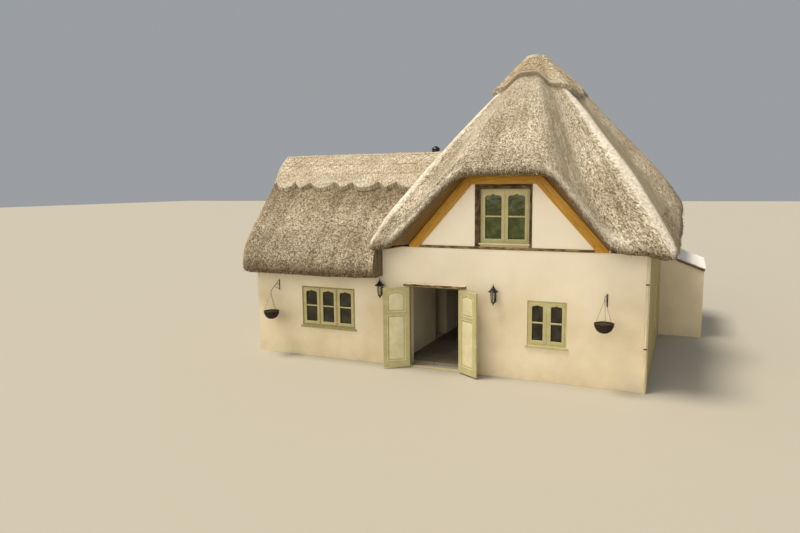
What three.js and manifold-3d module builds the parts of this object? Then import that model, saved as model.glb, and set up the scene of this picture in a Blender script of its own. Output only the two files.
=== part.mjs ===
// A thatched cottage with rendered walls: a tall main block with its ridge running front to back,
// a lower wing on its left, a small lean-to at the back of its right side, and a pair of doors.
// Millimetres, +Z up. The front wall faces -Y. The origin is on the ground, under the middle of
// the main block.
import * as THREE from "three";
import { mergeVertices } from "three/addons/utils/BufferGeometryUtils.js";
import Module from "manifold-3d";

const wasm = await Module();
wasm.setup();

// Driving dimensions of the walls
const MAIN_WIDTH = 6112;
const MAIN_DEPTH = 9000;
const WALL = 390;
const WALL_TOP = 2944;
const FLOOR = 60;
const FIRST_FLOOR = 2550;
const FIRST_FLOOR_DEPTH = 200;
const WING_LENGTH = 3730;
const WING_DEPTH = 4100;
const WING_WALL_TOP = 2700;
const LEANTO = { length: 1144, front: 5850, back: 8750, wall: 200, high: 2400, low: 1956, roof: 60, lap: 50 };

// Gaps: between pieces that touch on a sloping or turned face, and round what moves
const GAP = 0.3;
const RUNNING_GAP = 5;

// Driving dimensions of the gable: a flat-topped opening framed by boards
const GABLE_X = -40;
const GABLE_WALL = 300;
const BOARD_TOP = 4615;
const BOARD_WIDTH = 195;
const BOARD_THICK = 50;
const BOARD_FOOT = 2950;
const GABLE_FOOT_HALF = 2270;
const GABLE_LEAN = 0.9;
const PLATE_TOP = 3007;
const PLATE_HALF = 1990;
const SOFFIT_THICK = 20;
const SOFFIT_DEPTH = 550;

// Driving dimensions of the main roof, in distances from the front wall's face
const EAVE_OUT = 504;
const LEFT_EAVE_OUT = 294;
const EAVE_LOW = 2920;
const HOOD_OUT = 600;
const HOOD_LOW = 4670;
const HOOD_TOP_HALF = 850;
const HOOD_FOOT_HALF = 2420;
const HOOD_FOOT_LOW = 2980;
const RIDGE_TOP = 7450;
const RIDGE_END = 2200;
const RIDGE_X = 150;
const RIDGE_ROUND = 150;
const RIM_RISE = 150;
const CROWN = 200;
const CORNER_ROUND = 400;
const EYEBROW = { middle: 3200, half: 1500, rise: 880, wallTop: 3740 };

// Driving dimensions of the wing's roof
const WING_EAVE_OUT = 550;
const WING_EAVE_LOW = 2220;
const WING_VERGE = 370;
const WING_RIDGE = 5210;
const WING_ROLL = { rise: 765, run: 270, round: 420, verge: 400 };
const ROOF_SEAT = 200;

const HALF = MAIN_WIDTH / 2;
const FRONT = -MAIN_DEPTH / 2;
const WING_END = -HALF - WING_LENGTH;
const fromFront = (distance) => FRONT + distance;

// Materials
const material = (color, roughness, metalness = 0) =>
  new THREE.MeshStandardMaterial({ color, roughness, metalness });
const render = material(0xe6d9b8, 0.9);
const straw = material(0xb9a585, 0.95);
const capStraw = material(0xc2b193, 0.95);
const sagePaint = material(0xb5b083, 0.5);
const stainedBoard = material(0xa8741e, 0.6);
const darkOak = material(0x4a3a26, 0.8);
const blackIron = material(0x17181a, 0.45, 0.7);
const creamPipe = material(0xe2d8b9, 0.4);
const glass = material(0x2c3a2c, 0.05);
const boards = material(0x9a7a4d, 0.8);
const screed = material(0xa8a294, 0.9);
const slate = material(0xc9c6ba, 0.7);
const coir = material(0x5b4127, 0.95);

const cottage = new THREE.Group();

// Names a piece and adds it to the cottage or to one of its groups
function add(name, geometry, pieceMaterial, parent = cottage) {
  const mesh = new THREE.Mesh(geometry, pieceMaterial);
  mesh.name = name;
  parent.add(mesh);
  return mesh;
}

// Solid geometry
const X = new THREE.Vector3(1, 0, 0);
const Y = new THREE.Vector3(0, 1, 0);
const Z = new THREE.Vector3(0, 0, 1);

function box(x0, x1, y0, y1, z0, z1) {
  const geometry = new THREE.BoxGeometry(x1 - x0, y1 - y0, z1 - z0);
  return geometry.translate((x0 + x1) / 2, (y0 + y1) / 2, (z0 + z1) / 2);
}

function outline(points) {
  return new THREE.Shape(points.map(([a, b]) => new THREE.Vector2(a, b)));
}

function rectangle(a0, a1, b0, b1) {
  return outline([[a0, b0], [a1, b0], [a1, b1], [a0, b1]]);
}

// An outline drawn in X and Z, extruded from y0 to y1
function extrudeY(shape, y0, y1) {
  const geometry = new THREE.ExtrudeGeometry(shape, { depth: y1 - y0, bevelEnabled: false, curveSegments: 4 });
  geometry.applyMatrix4(new THREE.Matrix4().makeBasis(X, Z, Y.clone().negate()));
  return geometry.translate(0, y1, 0);
}

// An outline drawn in Y and Z, extruded from x0 to x1
function extrudeX(shape, x0, x1) {
  const geometry = new THREE.ExtrudeGeometry(shape, { depth: x1 - x0, bevelEnabled: false, curveSegments: 4 });
  geometry.applyMatrix4(new THREE.Matrix4().makeBasis(Y, Z, X));
  return geometry.translate(x0, 0, 0);
}

function upright(radiusTop, radiusBottom, x, y, z0, z1, sides = 12) {
  const geometry = new THREE.CylinderGeometry(radiusTop, radiusBottom, z1 - z0, sides);
  return geometry.rotateX(Math.PI / 2).translate(x, y, (z0 + z1) / 2);
}

// A straight round bar from one point to another
function bar(from, to, radius, sides = 6) {
  const a = new THREE.Vector3(...from);
  const b = new THREE.Vector3(...to);
  const geometry = new THREE.CylinderGeometry(radius, radius, a.distanceTo(b), sides);
  const turn = new THREE.Quaternion().setFromUnitVectors(Y, b.clone().sub(a).normalize());
  const middle = a.add(b).multiplyScalar(0.5);
  return geometry.applyQuaternion(turn).translate(middle.x, middle.y, middle.z);
}

function solid(geometry) {
  const bare = geometry.clone();
  bare.deleteAttribute("normal");
  bare.deleteAttribute("uv");
  const merged = mergeVertices(bare, 1e-4);
  return new wasm.Manifold(new wasm.Mesh({
    numProp: 3,
    vertProperties: new Float32Array(merged.attributes.position.array),
    triVerts: new Uint32Array(merged.index.array),
  }));
}

function surface(manifold) {
  const mesh = manifold.getMesh();
  const geometry = new THREE.BufferGeometry();
  geometry.setAttribute("position", new THREE.BufferAttribute(new Float32Array(mesh.vertProperties), 3));
  geometry.setIndex(new THREE.BufferAttribute(new Uint32Array(mesh.triVerts), 1));
  geometry.computeVertexNormals();
  return geometry;
}

function join(...geometries) {
  return surface(geometries.map(solid).reduce((whole, piece) => whole.add(piece)));
}

function cut(geometry, ...tools) {
  return surface(tools.map(solid).reduce((rest, tool) => rest.subtract(tool), solid(geometry)));
}

// A closed skin through a row of closed rings, with a fan across the first and the last ring
function loft(rings) {
  const count = rings[0].length;
  const points = rings.flat();
  const index = [];
  for (let ring = 0; ring + 1 < rings.length; ring += 1) {
    for (let i = 0; i < count; i += 1) {
      const a = ring * count + i;
      const b = ring * count + ((i + 1) % count);
      index.push(a, b, b + count, a, b + count, a + count);
    }
  }
  for (const [ring, flip] of [[0, true], [rings.length - 1, false]]) {
    const middle = [0, 1, 2].map((axis) => rings[ring].reduce((sum, p) => sum + p[axis], 0) / count);
    points.push(middle);
    for (let i = 0; i < count; i += 1) {
      const a = ring * count + i;
      const b = ring * count + ((i + 1) % count);
      index.push(...(flip ? [b, a, points.length - 1] : [a, b, points.length - 1]));
    }
  }
  const geometry = new THREE.BufferGeometry();
  geometry.setAttribute("position", new THREE.Float32BufferAttribute(points.flat(), 3));
  geometry.setIndex(index);
  geometry.computeVertexNormals();
  return geometry;
}

const mix = (a, b, t) => a + (b - a) * t;
const spread = (from, to, count) => Array.from({ length: count }, (_, i) => mix(from, to, i / (count - 1)));

// The gable's flat-topped outline, moved out by a distance square to its sloping edges.
// Points run from the left foot over the top to the right foot.
function gableOutline(out, footZ) {
  const slant = Math.hypot(1, GABLE_LEAN);
  const half = (z) => GABLE_FOOT_HALF + out * slant - GABLE_LEAN * (z - PLATE_TOP);
  const top = BOARD_TOP + out;
  return [
    [GABLE_X - half(PLATE_TOP), footZ],
    [GABLE_X - half(PLATE_TOP), PLATE_TOP],
    [GABLE_X - half(top), top],
    [GABLE_X + half(top), top],
    [GABLE_X + half(PLATE_TOP), PLATE_TOP],
    [GABLE_X + half(PLATE_TOP), footZ],
  ];
}

// A band that runs round the gable between two of those outlines
function gableBand(inner, outer, footZ) {
  return outline([...gableOutline(outer, footZ), ...gableOutline(inner, footZ).reverse()]);
}

// Walls of the main block

const DOOR = { left: -2410, right: -990, head: 2000, lintelTop: 2085, lintelLeft: -2490, lintelRight: -920 };
const FRONT_WINDOW = { left: 513, right: 1386, sill: 768, low: 812, head: 1830 };
const WING_WINDOW = { left: -5395, right: -3846, sill: 762, low: 812, head: 1840 };
const GABLE_WINDOW = { left: -598, right: 532, sill: PLATE_TOP, low: 3087, head: 4305 };
const POSTS = { left: -713, right: 591, head: 4419 };
const EYEBROW_WINDOW = { half: 410, sill: 2990, low: 3040, head: 3490 };
const SIDE_WINDOW = { middle: EYEBROW.middle, half: 436, sill: 768, low: 812, head: 1830 };
const REAR_WINDOW = { middle: 0, half: 775, sill: 762, low: 812, head: 1840 };
const PASSAGE = { from: 2600, to: 3500, head: 2000 };

// How far the eyebrow swells at a distance from the front wall, from 0 beside it to 1 at its middle
function eyebrowSwell(distance) {
  const off = (distance - EYEBROW.middle) / EYEBROW.half;
  return Math.abs(off) < 1 ? 0.5 + 0.5 * Math.cos(Math.PI * off) : 0;
}

// The low arch of the wall under the eyebrow, in Y and Z
function eyebrowArch(raise) {
  const rise = EYEBROW.wallTop - WALL_TOP;
  return spread(EYEBROW.middle - EYEBROW.half, EYEBROW.middle + EYEBROW.half, 17).map((distance) =>
    [fromFront(distance), WALL_TOP + raise + rise * eyebrowSwell(distance)]);
}

function frontWalls() {
  const y0 = fromFront(0);
  const y1 = fromFront(WALL);
  const left = outline([
    [-HALF, 0], [DOOR.left, 0], [DOOR.left, DOOR.head], [DOOR.lintelLeft, DOOR.head],
    [DOOR.lintelLeft, DOOR.lintelTop], [DOOR.left, DOOR.lintelTop], [DOOR.left, WALL_TOP], [-HALF, WALL_TOP],
  ]);
  add("front_wall_left", extrudeY(left, y0, y1), render);
  add("front_wall_over_door", box(DOOR.left, DOOR.right, y0, y1, DOOR.lintelTop, WALL_TOP), render);
  const right = outline([
    [HALF, 0], [HALF, WALL_TOP], [DOOR.right, WALL_TOP], [DOOR.right, DOOR.lintelTop],
    [DOOR.lintelRight, DOOR.lintelTop], [DOOR.lintelRight, DOOR.head], [DOOR.right, DOOR.head], [DOOR.right, 0],
  ]);
  right.holes.push(rectangle(FRONT_WINDOW.left, FRONT_WINDOW.right, FRONT_WINDOW.sill, FRONT_WINDOW.head));
  add("front_wall_right", extrudeY(right, y0, y1), render);
}

function sideWalls() {
  const left = rectangle(fromFront(WALL), fromFront(MAIN_DEPTH - WALL), 0, WALL_TOP);
  left.holes.push(rectangle(fromFront(PASSAGE.from), fromFront(PASSAGE.to), FLOOR, PASSAGE.head));
  add("left_wall", extrudeX(left, -HALF, -HALF + WALL), render);

  const middle = fromFront(EYEBROW.middle);
  const right = outline([
    [fromFront(WALL), 0], [fromFront(MAIN_DEPTH - WALL), 0], [fromFront(MAIN_DEPTH - WALL), WALL_TOP],
    ...eyebrowArch(0).reverse(), [fromFront(WALL), WALL_TOP],
  ]);
  const openings = [SIDE_WINDOW, EYEBROW_WINDOW].map(({ half, sill, head }) =>
    box(HALF - WALL - 1, HALF + 1, middle - half, middle + half, sill, head));
  add("right_wall", cut(extrudeX(right, HALF - WALL, HALF), ...openings), render);

  const back = rectangle(-HALF, HALF, 0, WALL_TOP);
  const at = REAR_WINDOW;
  back.holes.push(rectangle(at.middle - at.half, at.middle + at.half, at.sill, at.head));
  add("back_wall", extrudeY(back, fromFront(MAIN_DEPTH - WALL), fromFront(MAIN_DEPTH)), render);
}

function floors() {
  const inner = HALF - WALL;
  const y0 = fromFront(WALL);
  const y1 = fromFront(MAIN_DEPTH - WALL);
  add("main_floor", box(-inner, inner, y0, y1, 0, FLOOR), screed);
  add("first_floor", box(-inner, inner, y0, y1, FIRST_FLOOR - FIRST_FLOOR_DEPTH, FIRST_FLOOR), boards);
  const wingBack = fromFront(WING_DEPTH - WALL);
  add("wing_floor", box(WING_END + WALL, -HALF, y0, wingBack, 0, FLOOR), screed);
}

// Gable walls, the timber plate under the front one, and the boards round both

function gableWalls() {
  const sides = gableOutline(SOFFIT_THICK, WALL_TOP);
  const front = outline([
    ...sides,
    [PLATE_HALF + GABLE_X + GAP, WALL_TOP], [PLATE_HALF + GABLE_X + GAP, PLATE_TOP + GAP],
    [POSTS.right + GAP, PLATE_TOP + GAP], [POSTS.right + GAP, POSTS.head + GAP],
    [POSTS.left - GAP, POSTS.head + GAP], [POSTS.left - GAP, PLATE_TOP + GAP],
    [GABLE_X - PLATE_HALF - GAP, PLATE_TOP + GAP], [GABLE_X - PLATE_HALF - GAP, WALL_TOP],
  ]);
  add("front_gable_wall", extrudeY(front, fromFront(0), fromFront(GABLE_WALL)), render);
  const { left, right, sill, head } = GABLE_WINDOW;
  const opening = box(left, right, fromFront(-1), fromFront(GABLE_WALL + 1), sill, head);
  const rear = cut(extrudeY(outline(sides), fromFront(0), fromFront(GABLE_WALL)), opening);
  add("rear_gable_wall", rear, render, rearSide);
}

function gableTimber() {
  const plate = box(GABLE_X - PLATE_HALF, GABLE_X + PLATE_HALF, fromFront(-25), fromFront(250), WALL_TOP, PLATE_TOP);
  add("timber_plate", plate, darkOak);
  const window = GABLE_WINDOW;
  const surround = outline([
    [POSTS.left, PLATE_TOP + GAP], [window.left, PLATE_TOP + GAP], [window.left, window.head],
    [window.right, window.head], [window.right, PLATE_TOP + GAP], [POSTS.right, PLATE_TOP + GAP],
    [POSTS.right, POSTS.head], [POSTS.left, POSTS.head],
  ]);
  add("gable_window_posts", extrudeY(surround, fromFront(-20), fromFront(GABLE_WALL - 20)), darkOak);

  const y0 = fromFront(-BOARD_THICK);
  const y1 = fromFront(-GAP);
  const outer = gableOutline(-GAP, BOARD_FOOT);
  const inner = gableOutline(-BOARD_WIDTH, BOARD_FOOT);
  const side = (from, to) => [outer[from], outer[from + 1], outer[to], inner[to], inner[from + 1], inner[from]];
  add("bargeboard_left", extrudeY(outline(side(0, 2)), y0, y1), stainedBoard);
  const shrink = (point, dx) => [point[0] + dx, point[1]];
  const top = [shrink(outer[2], GAP), shrink(outer[3], -GAP), shrink(inner[3], -GAP), shrink(inner[2], GAP)];
  add("bargeboard_top", extrudeY(outline(top), y0, y1), stainedBoard);
  const right = [outer[3], outer[4], outer[5], inner[5], inner[4], inner[3]];
  add("bargeboard_right", extrudeY(outline(right), y0, y1), stainedBoard);
  const soffit = gableBand(0, SOFFIT_THICK, BOARD_FOOT);
  add("front_soffit", extrudeY(soffit, fromFront(-SOFFIT_DEPTH), fromFront(-GAP)), stainedBoard);
  const rearBoards = join(
    extrudeY(gableBand(-BOARD_WIDTH, 1, BOARD_FOOT), y0, y1),
    extrudeY(soffit, fromFront(-SOFFIT_DEPTH), fromFront(-GAP)),
  );
  add("rear_verge_boards", rearBoards, stainedBoard, rearSide);
}

// Windows

// One light's opening: straight sides and an ogee head
function lightOpening(x0, x1, z0, z1) {
  const width = x1 - x0;
  const middle = (x0 + x1) / 2;
  const spring = z1 - 0.27 * width;
  const knee = z1 - 0.09 * width;
  const path = new THREE.Shape();
  path.moveTo(x0, z0);
  path.lineTo(x1, z0);
  path.lineTo(x1, spring);
  path.quadraticCurveTo(x1, knee, x1 - 0.24 * width, knee);
  path.quadraticCurveTo(middle + 0.12 * width, knee, middle, z1);
  path.quadraticCurveTo(middle - 0.12 * width, knee, x0 + 0.24 * width, knee);
  path.quadraticCurveTo(x0, knee, x0, spring);
  return path;
}

const FRAME_DEPTH = 70;
const GLASS_IN = 30;
const GLASS_THICK = 6;
const GLASS_EDGE = 45;

// A window in its own frame: x along the wall, y into the wall from the frame's face, z up, with
// the frame's lower left corner at the origin. The sill is one piece with the frame.
function windowParts({ width, height, lights, pane, stile, foot, head, sillDrop, sillOut, ear }) {
  const gaps = Math.max(lights - 1, 1);
  const mullion = (width - 2 * stile - lights * pane) / gaps;
  const w = width - GAP;
  const openings = Array.from({ length: lights }, (_, i) => {
    const x0 = stile + i * (pane + mullion);
    return extrudeY(lightOpening(x0, x0 + pane, foot, height - head), -1, GLASS_IN + 1);
  });
  const face = cut(extrudeY(rectangle(GAP, w, GAP, height - GAP), 0, GLASS_IN), ...openings);
  const ring = rectangle(GAP, w, GAP, height - GAP);
  ring.holes.push(rectangle(GLASS_EDGE, width - GLASS_EDGE, GLASS_EDGE, height - GLASS_EDGE));
  const pieces = [
    face,
    extrudeY(ring, 0, FRAME_DEPTH),
    box(GAP, w, -sillOut, FRAME_DEPTH, -sillDrop + GAP, 1),
  ];
  if (ear > 0) {
    pieces.push(box(-ear, width + ear, -sillOut, -sillOut + ear, -sillDrop + GAP, GAP));
  }
  const edge = GLASS_EDGE + GAP;
  const sheet = box(edge, width - edge, GLASS_IN + GAP, GLASS_IN + GAP + GLASS_THICK, edge, height - edge);
  return { frame: join(...pieces), sheet };
}

function windows() {
  const cottageWindow = { foot: 115, head: 92, ear: 35, sillOut: 55 };
  const place = (name, parent, size, x, y, z) => {
    const group = new THREE.Group();
    group.position.set(x, y, z);
    parent.add(group);
    const { frame, sheet } = windowParts(size);
    add(`${name}_frame`, frame, sagePaint, group);
    add(`${name}_glass`, sheet, glass, group);
  };
  const recess = 20;
  const two = FRONT_WINDOW;
  const twoLights = {
    ...cottageWindow, width: two.right - two.left, height: two.head - two.low,
    lights: 2, pane: 249, stile: 103, sillDrop: two.low - two.sill,
  };
  place("front_window", cottage, twoLights, two.left, fromFront(recess), two.low);
  place("side_window", rightSide, { ...twoLights, width: 2 * SIDE_WINDOW.half },
    fromFront(EYEBROW.middle) - SIDE_WINDOW.half, recess, SIDE_WINDOW.low);

  const three = WING_WINDOW;
  const threeLights = {
    ...cottageWindow, width: three.right - three.left, height: three.head - three.low,
    lights: 3, pane: 330, stile: 113, sillDrop: three.low - three.sill,
  };
  place("wing_window", cottage, threeLights, three.left, fromFront(recess), three.low);
  place("rear_window", rearSide, { ...threeLights, width: 2 * REAR_WINDOW.half },
    -REAR_WINDOW.middle - REAR_WINDOW.half, fromFront(recess), REAR_WINDOW.low);

  const upper = GABLE_WINDOW;
  const gableWindow = {
    width: upper.right - upper.left, height: upper.head - upper.low, lights: 2, pane: 384,
    stile: 108, foot: 94, head: 108, sillDrop: upper.low - upper.sill - GAP, sillOut: 50, ear: 0,
  };
  const behindPosts = 50;
  place("gable_window", cottage, gableWindow, upper.left, fromFront(behindPosts), upper.low);
  place("rear_gable_window", rearSide, gableWindow, upper.left, fromFront(behindPosts), upper.low);

  const low = EYEBROW_WINDOW;
  const eyebrowWindow = {
    width: 2 * low.half, height: low.head - low.low, lights: 2, pane: 280, stile: 95,
    foot: 80, head: 75, sillDrop: low.low - low.sill, sillOut: 30, ear: 0,
  };
  place("eyebrow_window", rightSide, eyebrowWindow, fromFront(EYEBROW.middle) - low.half, recess, low.low);
}

// Doorway and its pair of doors, which open outwards and stand open

const STILE = 60;
const LEAF = { thick: 45, low: 35, high: 1980, width: 645 };
const PIN = { out: 20, radius: 6, eye: 13, rests: [330, 1620], rise: 50 };
const STAND_OPEN = 147;

function doorFrame() {
  const y0 = fromFront(GAP);
  const ring = rectangle(DOOR.left + GAP, DOOR.right - GAP, 0, DOOR.head - GAP);
  ring.holes.push(rectangle(DOOR.left + STILE, DOOR.right - STILE, LEAF.low - RUNNING_GAP, LEAF.high + RUNNING_GAP));
  const pieces = [extrudeY(ring, y0, fromFront(100))];
  for (const [x, towards] of [[DOOR.left + STILE, -1], [DOOR.right - STILE, 1]]) {
    for (const z of PIN.rests) {
      const x0 = Math.min(x, x + towards * 30);
      const shelf = PIN.radius + 3;
      pieces.push(box(x0, x0 + 30, fromFront(-PIN.out - shelf), fromFront(1), z - 8, z));
      pieces.push(box(x - shelf, x + shelf, fromFront(-PIN.out - shelf), fromFront(-PIN.out + shelf), z - 8, z));
      pieces.push(upright(PIN.radius, PIN.radius, x, fromFront(-PIN.out), z - 4, z + PIN.rise));
    }
  }
  add("door_frame", join(...pieces), sagePaint);
  const lintel = box(DOOR.lintelLeft, DOOR.lintelRight, fromFront(-50), fromFront(WALL), DOOR.head, DOOR.lintelTop);
  add("door_lintel", lintel, darkOak);
}

// One leaf, shut, with its hinge pin's axis at x = 0, y = 0. It reaches towards +X.
function leaf() {
  const y0 = PIN.out;
  const y1 = PIN.out + LEAF.thick;
  const x0 = RUNNING_GAP;
  const x1 = LEAF.width;
  const rail = 95;
  const lock = 1320;
  const face = rectangle(x0, x1, LEAF.low, LEAF.high);
  const lower = rectangle(x0 + rail, x1 - rail, LEAF.low + 1.6 * rail, lock);
  const upper = lightOpening(x0 + rail, x1 - rail, lock + 0.7 * rail, LEAF.high - 0.7 * rail);
  const frame = cut(extrudeY(face, y0, y1), extrudeY(lower, y0 - 1, y1 + 1), extrudeY(upper, y0 - 1, y1 + 1));
  const panel = box(x0 + rail / 2, x1 - rail / 2, y0 + 14, y1 - 14, LEAF.low + rail, LEAF.high - rail / 2);
  const pieces = [frame, panel];
  for (const z of PIN.rests) {
    const z0 = z + GAP;
    const z1 = z + PIN.rise - 8;
    const eye = solid(upright(PIN.eye, PIN.eye, 0, 0, z0, z1));
    const strap = solid(box(0, 240, PIN.eye - 6, PIN.out + 1, z0, z1));
    const bore = solid(upright(PIN.radius + 0.6, PIN.radius + 0.6, 0, 0, z0 - 1, z1 + 1));
    pieces.push(surface(eye.add(strap).subtract(bore)));
  }
  return join(...pieces);
}

function doors() {
  const leftHinge = new THREE.Group();
  leftHinge.position.set(DOOR.left + STILE, fromFront(-PIN.out), 0);
  leftHinge.rotation.z = -THREE.MathUtils.degToRad(STAND_OPEN);
  cottage.add(leftHinge);
  add("door_left", leaf(), sagePaint, leftHinge);

  const rightHinge = new THREE.Group();
  rightHinge.position.set(DOOR.right - STILE, fromFront(-PIN.out), 0);
  rightHinge.rotation.z = THREE.MathUtils.degToRad(STAND_OPEN);
  cottage.add(rightHinge);
  const other = leaf();
  other.applyMatrix4(new THREE.Matrix4().makeRotationZ(Math.PI));
  other.applyMatrix4(new THREE.Matrix4().makeScale(1, -1, 1));
  const index = other.index.array;
  for (let i = 0; i < index.length; i += 3) {
    [index[i], index[i + 1]] = [index[i + 1], index[i]];
  }
  other.computeVertexNormals();
  add("door_right", other, sagePaint, rightHinge);
}

// Wing walls

const WING_PITCH = (WING_RIDGE - WING_EAVE_LOW - WING_ROLL.rise) / (WING_DEPTH / 2 + WING_EAVE_OUT - WING_ROLL.run);
const RAFTER_PITCH = 1.1 * WING_PITCH;

// The underside of the wing's rafters, as an outline across the wing
function wingRafters(raise) {
  const top = WING_WALL_TOP + (WING_DEPTH / 2 - ROOF_SEAT) * RAFTER_PITCH;
  return [
    [fromFront(ROOF_SEAT), WING_WALL_TOP + raise],
    [fromFront(WING_DEPTH / 2), top + raise],
    [fromFront(WING_DEPTH - ROOF_SEAT), WING_WALL_TOP + raise],
  ];
}

function wingWalls() {
  const y0 = fromFront(0);
  const y1 = fromFront(WING_DEPTH);
  const front = rectangle(WING_END + WALL, -HALF, 0, WING_WALL_TOP);
  const window = WING_WINDOW;
  front.holes.push(rectangle(window.left, window.right, window.sill, window.head));
  add("wing_front_wall", extrudeY(front, y0, y0 + WALL), render);
  add("wing_back_wall", box(WING_END + WALL, -HALF, y1 - WALL, y1, 0, WING_WALL_TOP), render);
  const end = outline([[y0, 0], [y0, WING_WALL_TOP], ...wingRafters(0), [y1, WING_WALL_TOP], [y1, 0]]);
  add("wing_end_wall", extrudeX(end, WING_END, WING_END + WALL), render);
}

// Lean-to

function leanTo() {
  const { length, front, back, wall, high, low, roof, lap } = LEANTO;
  const x0 = HALF + GAP;
  const x1 = HALF + length;
  const slope = (low - high) / (x1 - x0);
  const shell = outline([[x0, 0], [x1, 0], [x1, low], [x0, high]]);
  const inside = box(x0 - 1, x1 - wall, fromFront(front + wall), fromFront(back - wall), FLOOR, high + 1);
  const walls = cut(extrudeY(shell, fromFront(front), fromFront(back)), inside);
  add("leanto_walls", walls, render);
  const seat = GAP * 1.2;
  const edge = x1 + lap;
  const under = (x) => high + seat + slope * (x - x0);
  const cover = outline([[x0, under(x0)], [edge, under(edge)], [edge, under(edge) + roof], [x0, under(x0) + roof]]);
  add("leanto_roof", extrudeY(cover, fromFront(front - lap), fromFront(back + lap)), slate);
}

// Main roof

// Places along the main roof's lower edge, once round, each with the point of the ridge that its
// straw runs up to. Distances are from the front wall's face.
function mainEdge() {
  const quarter = [];
  const put = (x, y, z, outX, outY) => quarter.push({ x, y, z, outX, outY });
  for (const x of spread(0, HOOD_TOP_HALF, 4)) put(x, -HOOD_OUT, HOOD_LOW, 0, -1);
  const vergeSteps = 6;
  for (let i = 1; i <= vergeSteps; i += 1) {
    const t = i / vergeSteps;
    put(mix(HOOD_TOP_HALF, HOOD_FOOT_HALF, t), -HOOD_OUT, mix(HOOD_LOW, HOOD_FOOT_LOW, t), 0, -1);
  }
  const cornerX = HALF + EAVE_OUT - CORNER_ROUND;
  const cornerY = CORNER_ROUND - HOOD_OUT;
  put(mix(HOOD_FOOT_HALF, cornerX, 0.5), -HOOD_OUT, EAVE_LOW, 0, -1);
  for (const angle of spread(0, Math.PI / 2, 4)) {
    const outX = Math.sin(angle);
    const outY = -Math.cos(angle);
    put(cornerX + CORNER_ROUND * outX, cornerY + CORNER_ROUND * outY, EAVE_LOW, outX, outY);
  }
  const last = quarter.length - 1;
  quarter.forEach((at, i) => {
    const angle = (i / last) * Math.PI / 2;
    at.ridgeX = RIDGE_X + RIDGE_ROUND * Math.sin(angle);
    at.ridgeY = RIDGE_END - RIDGE_ROUND * Math.cos(angle);
  });
  const middle = MAIN_DEPTH / 2;
  const sideCount = 13;
  for (const t of spread(0, 1, sideCount).slice(1)) {
    const y = mix(cornerY, middle, t);
    quarter.push({
      x: HALF + EAVE_OUT, y, z: EAVE_LOW, outX: 1, outY: 0,
      ridgeX: RIDGE_X + RIDGE_ROUND, ridgeY: mix(RIDGE_END, middle, t),
    });
  }
  const toBack = (at) => ({ ...at, y: MAIN_DEPTH - at.y, outY: -at.outY, ridgeY: MAIN_DEPTH - at.ridgeY });
  const rightSide = [...quarter, ...quarter.slice(0, -1).reverse().map(toBack)];
  const pulled = (x) => (x > HOOD_FOOT_HALF ? x - EAVE_OUT + LEFT_EAVE_OUT : x);
  const toLeft = (at) => ({ ...at, x: -pulled(at.x), outX: -at.outX, ridgeX: 2 * RIDGE_X - at.ridgeX });
  const leftSide = rightSide.slice(1, -1).reverse().map(toLeft);
  const lift = (at) => ({ ...at, z: at.z + (at.outX === 1 ? EYEBROW.rise * eyebrowSwell(at.y) : 0) });
  return [...rightSide.map(lift), ...leftSide];
}

// A point of the main roof's outer face: t runs from 0 at the top of the rim to 1 at the ridge. The
// straw bulges most in the lower half, where it rolls over the eaves.
function mainSlope(at, t, out = 0) {
  const crown = CROWN * Math.sin(Math.PI * t ** 0.6) + out;
  return [
    mix(at.x, at.ridgeX, t) + crown * at.outX,
    fromFront(mix(at.y, at.ridgeY, t) + crown * at.outY),
    mix(at.z + RIM_RISE, RIDGE_TOP, t) + out,
  ];
}

function mainRim(at, inset, rise) {
  return [at.x - inset * at.outX, fromFront(at.y - inset * at.outY), at.z + rise];
}

function mainOuter() {
  const edge = mainEdge();
  const rim = [[190, 0], [60, -10], [0, 60]].map(([inset, rise]) => edge.map((at) => mainRim(at, inset, rise)));
  const slope = [0, 0.07, 0.18, 0.32, 0.48, 0.64, 0.8, 0.92, 1];
  return loft([...rim, ...slope.map((t) => edge.map((at) => mainSlope(at, t)))]);
}

// The space under the main roof's rafters: a ridged prism with its ends cut back under the hips
function mainAttic() {
  const seatX = HALF - ROOF_SEAT;
  const pitch = (RIDGE_TOP - EAVE_LOW - RIM_RISE) / (HALF + EAVE_OUT - RIDGE_ROUND);
  const apex = WALL_TOP + seatX * pitch;
  const low = WALL_TOP - 50;
  const across = outline([[-seatX, low], [-seatX, WALL_TOP], [RIDGE_X, apex], [seatX, WALL_TOP], [seatX, low]]);
  const hipFoot = 4930;
  const hipRun = apex - hipFoot;
  const y0 = fromFront(GABLE_WALL);
  const y1 = fromFront(MAIN_DEPTH - GABLE_WALL);
  const along = outline([[y0, low], [y0, hipFoot], [y0 + hipRun, apex], [y1 - hipRun, apex], [y1, hipFoot], [y1, low]]);
  return solid(extrudeY(across, y0 - 1, y1 + 1)).intersect(solid(extrudeX(along, -HALF, HALF)));
}

const FLUE = { x: -2950, y: 3400, radius: 75, top: 5260, foot: 3000 };

function flueHole() {
  return upright(FLUE.radius + 0.5, FLUE.radius + 0.5, FLUE.x, fromFront(FLUE.y), FLUE.foot - 900, FLUE.top);
}

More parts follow.
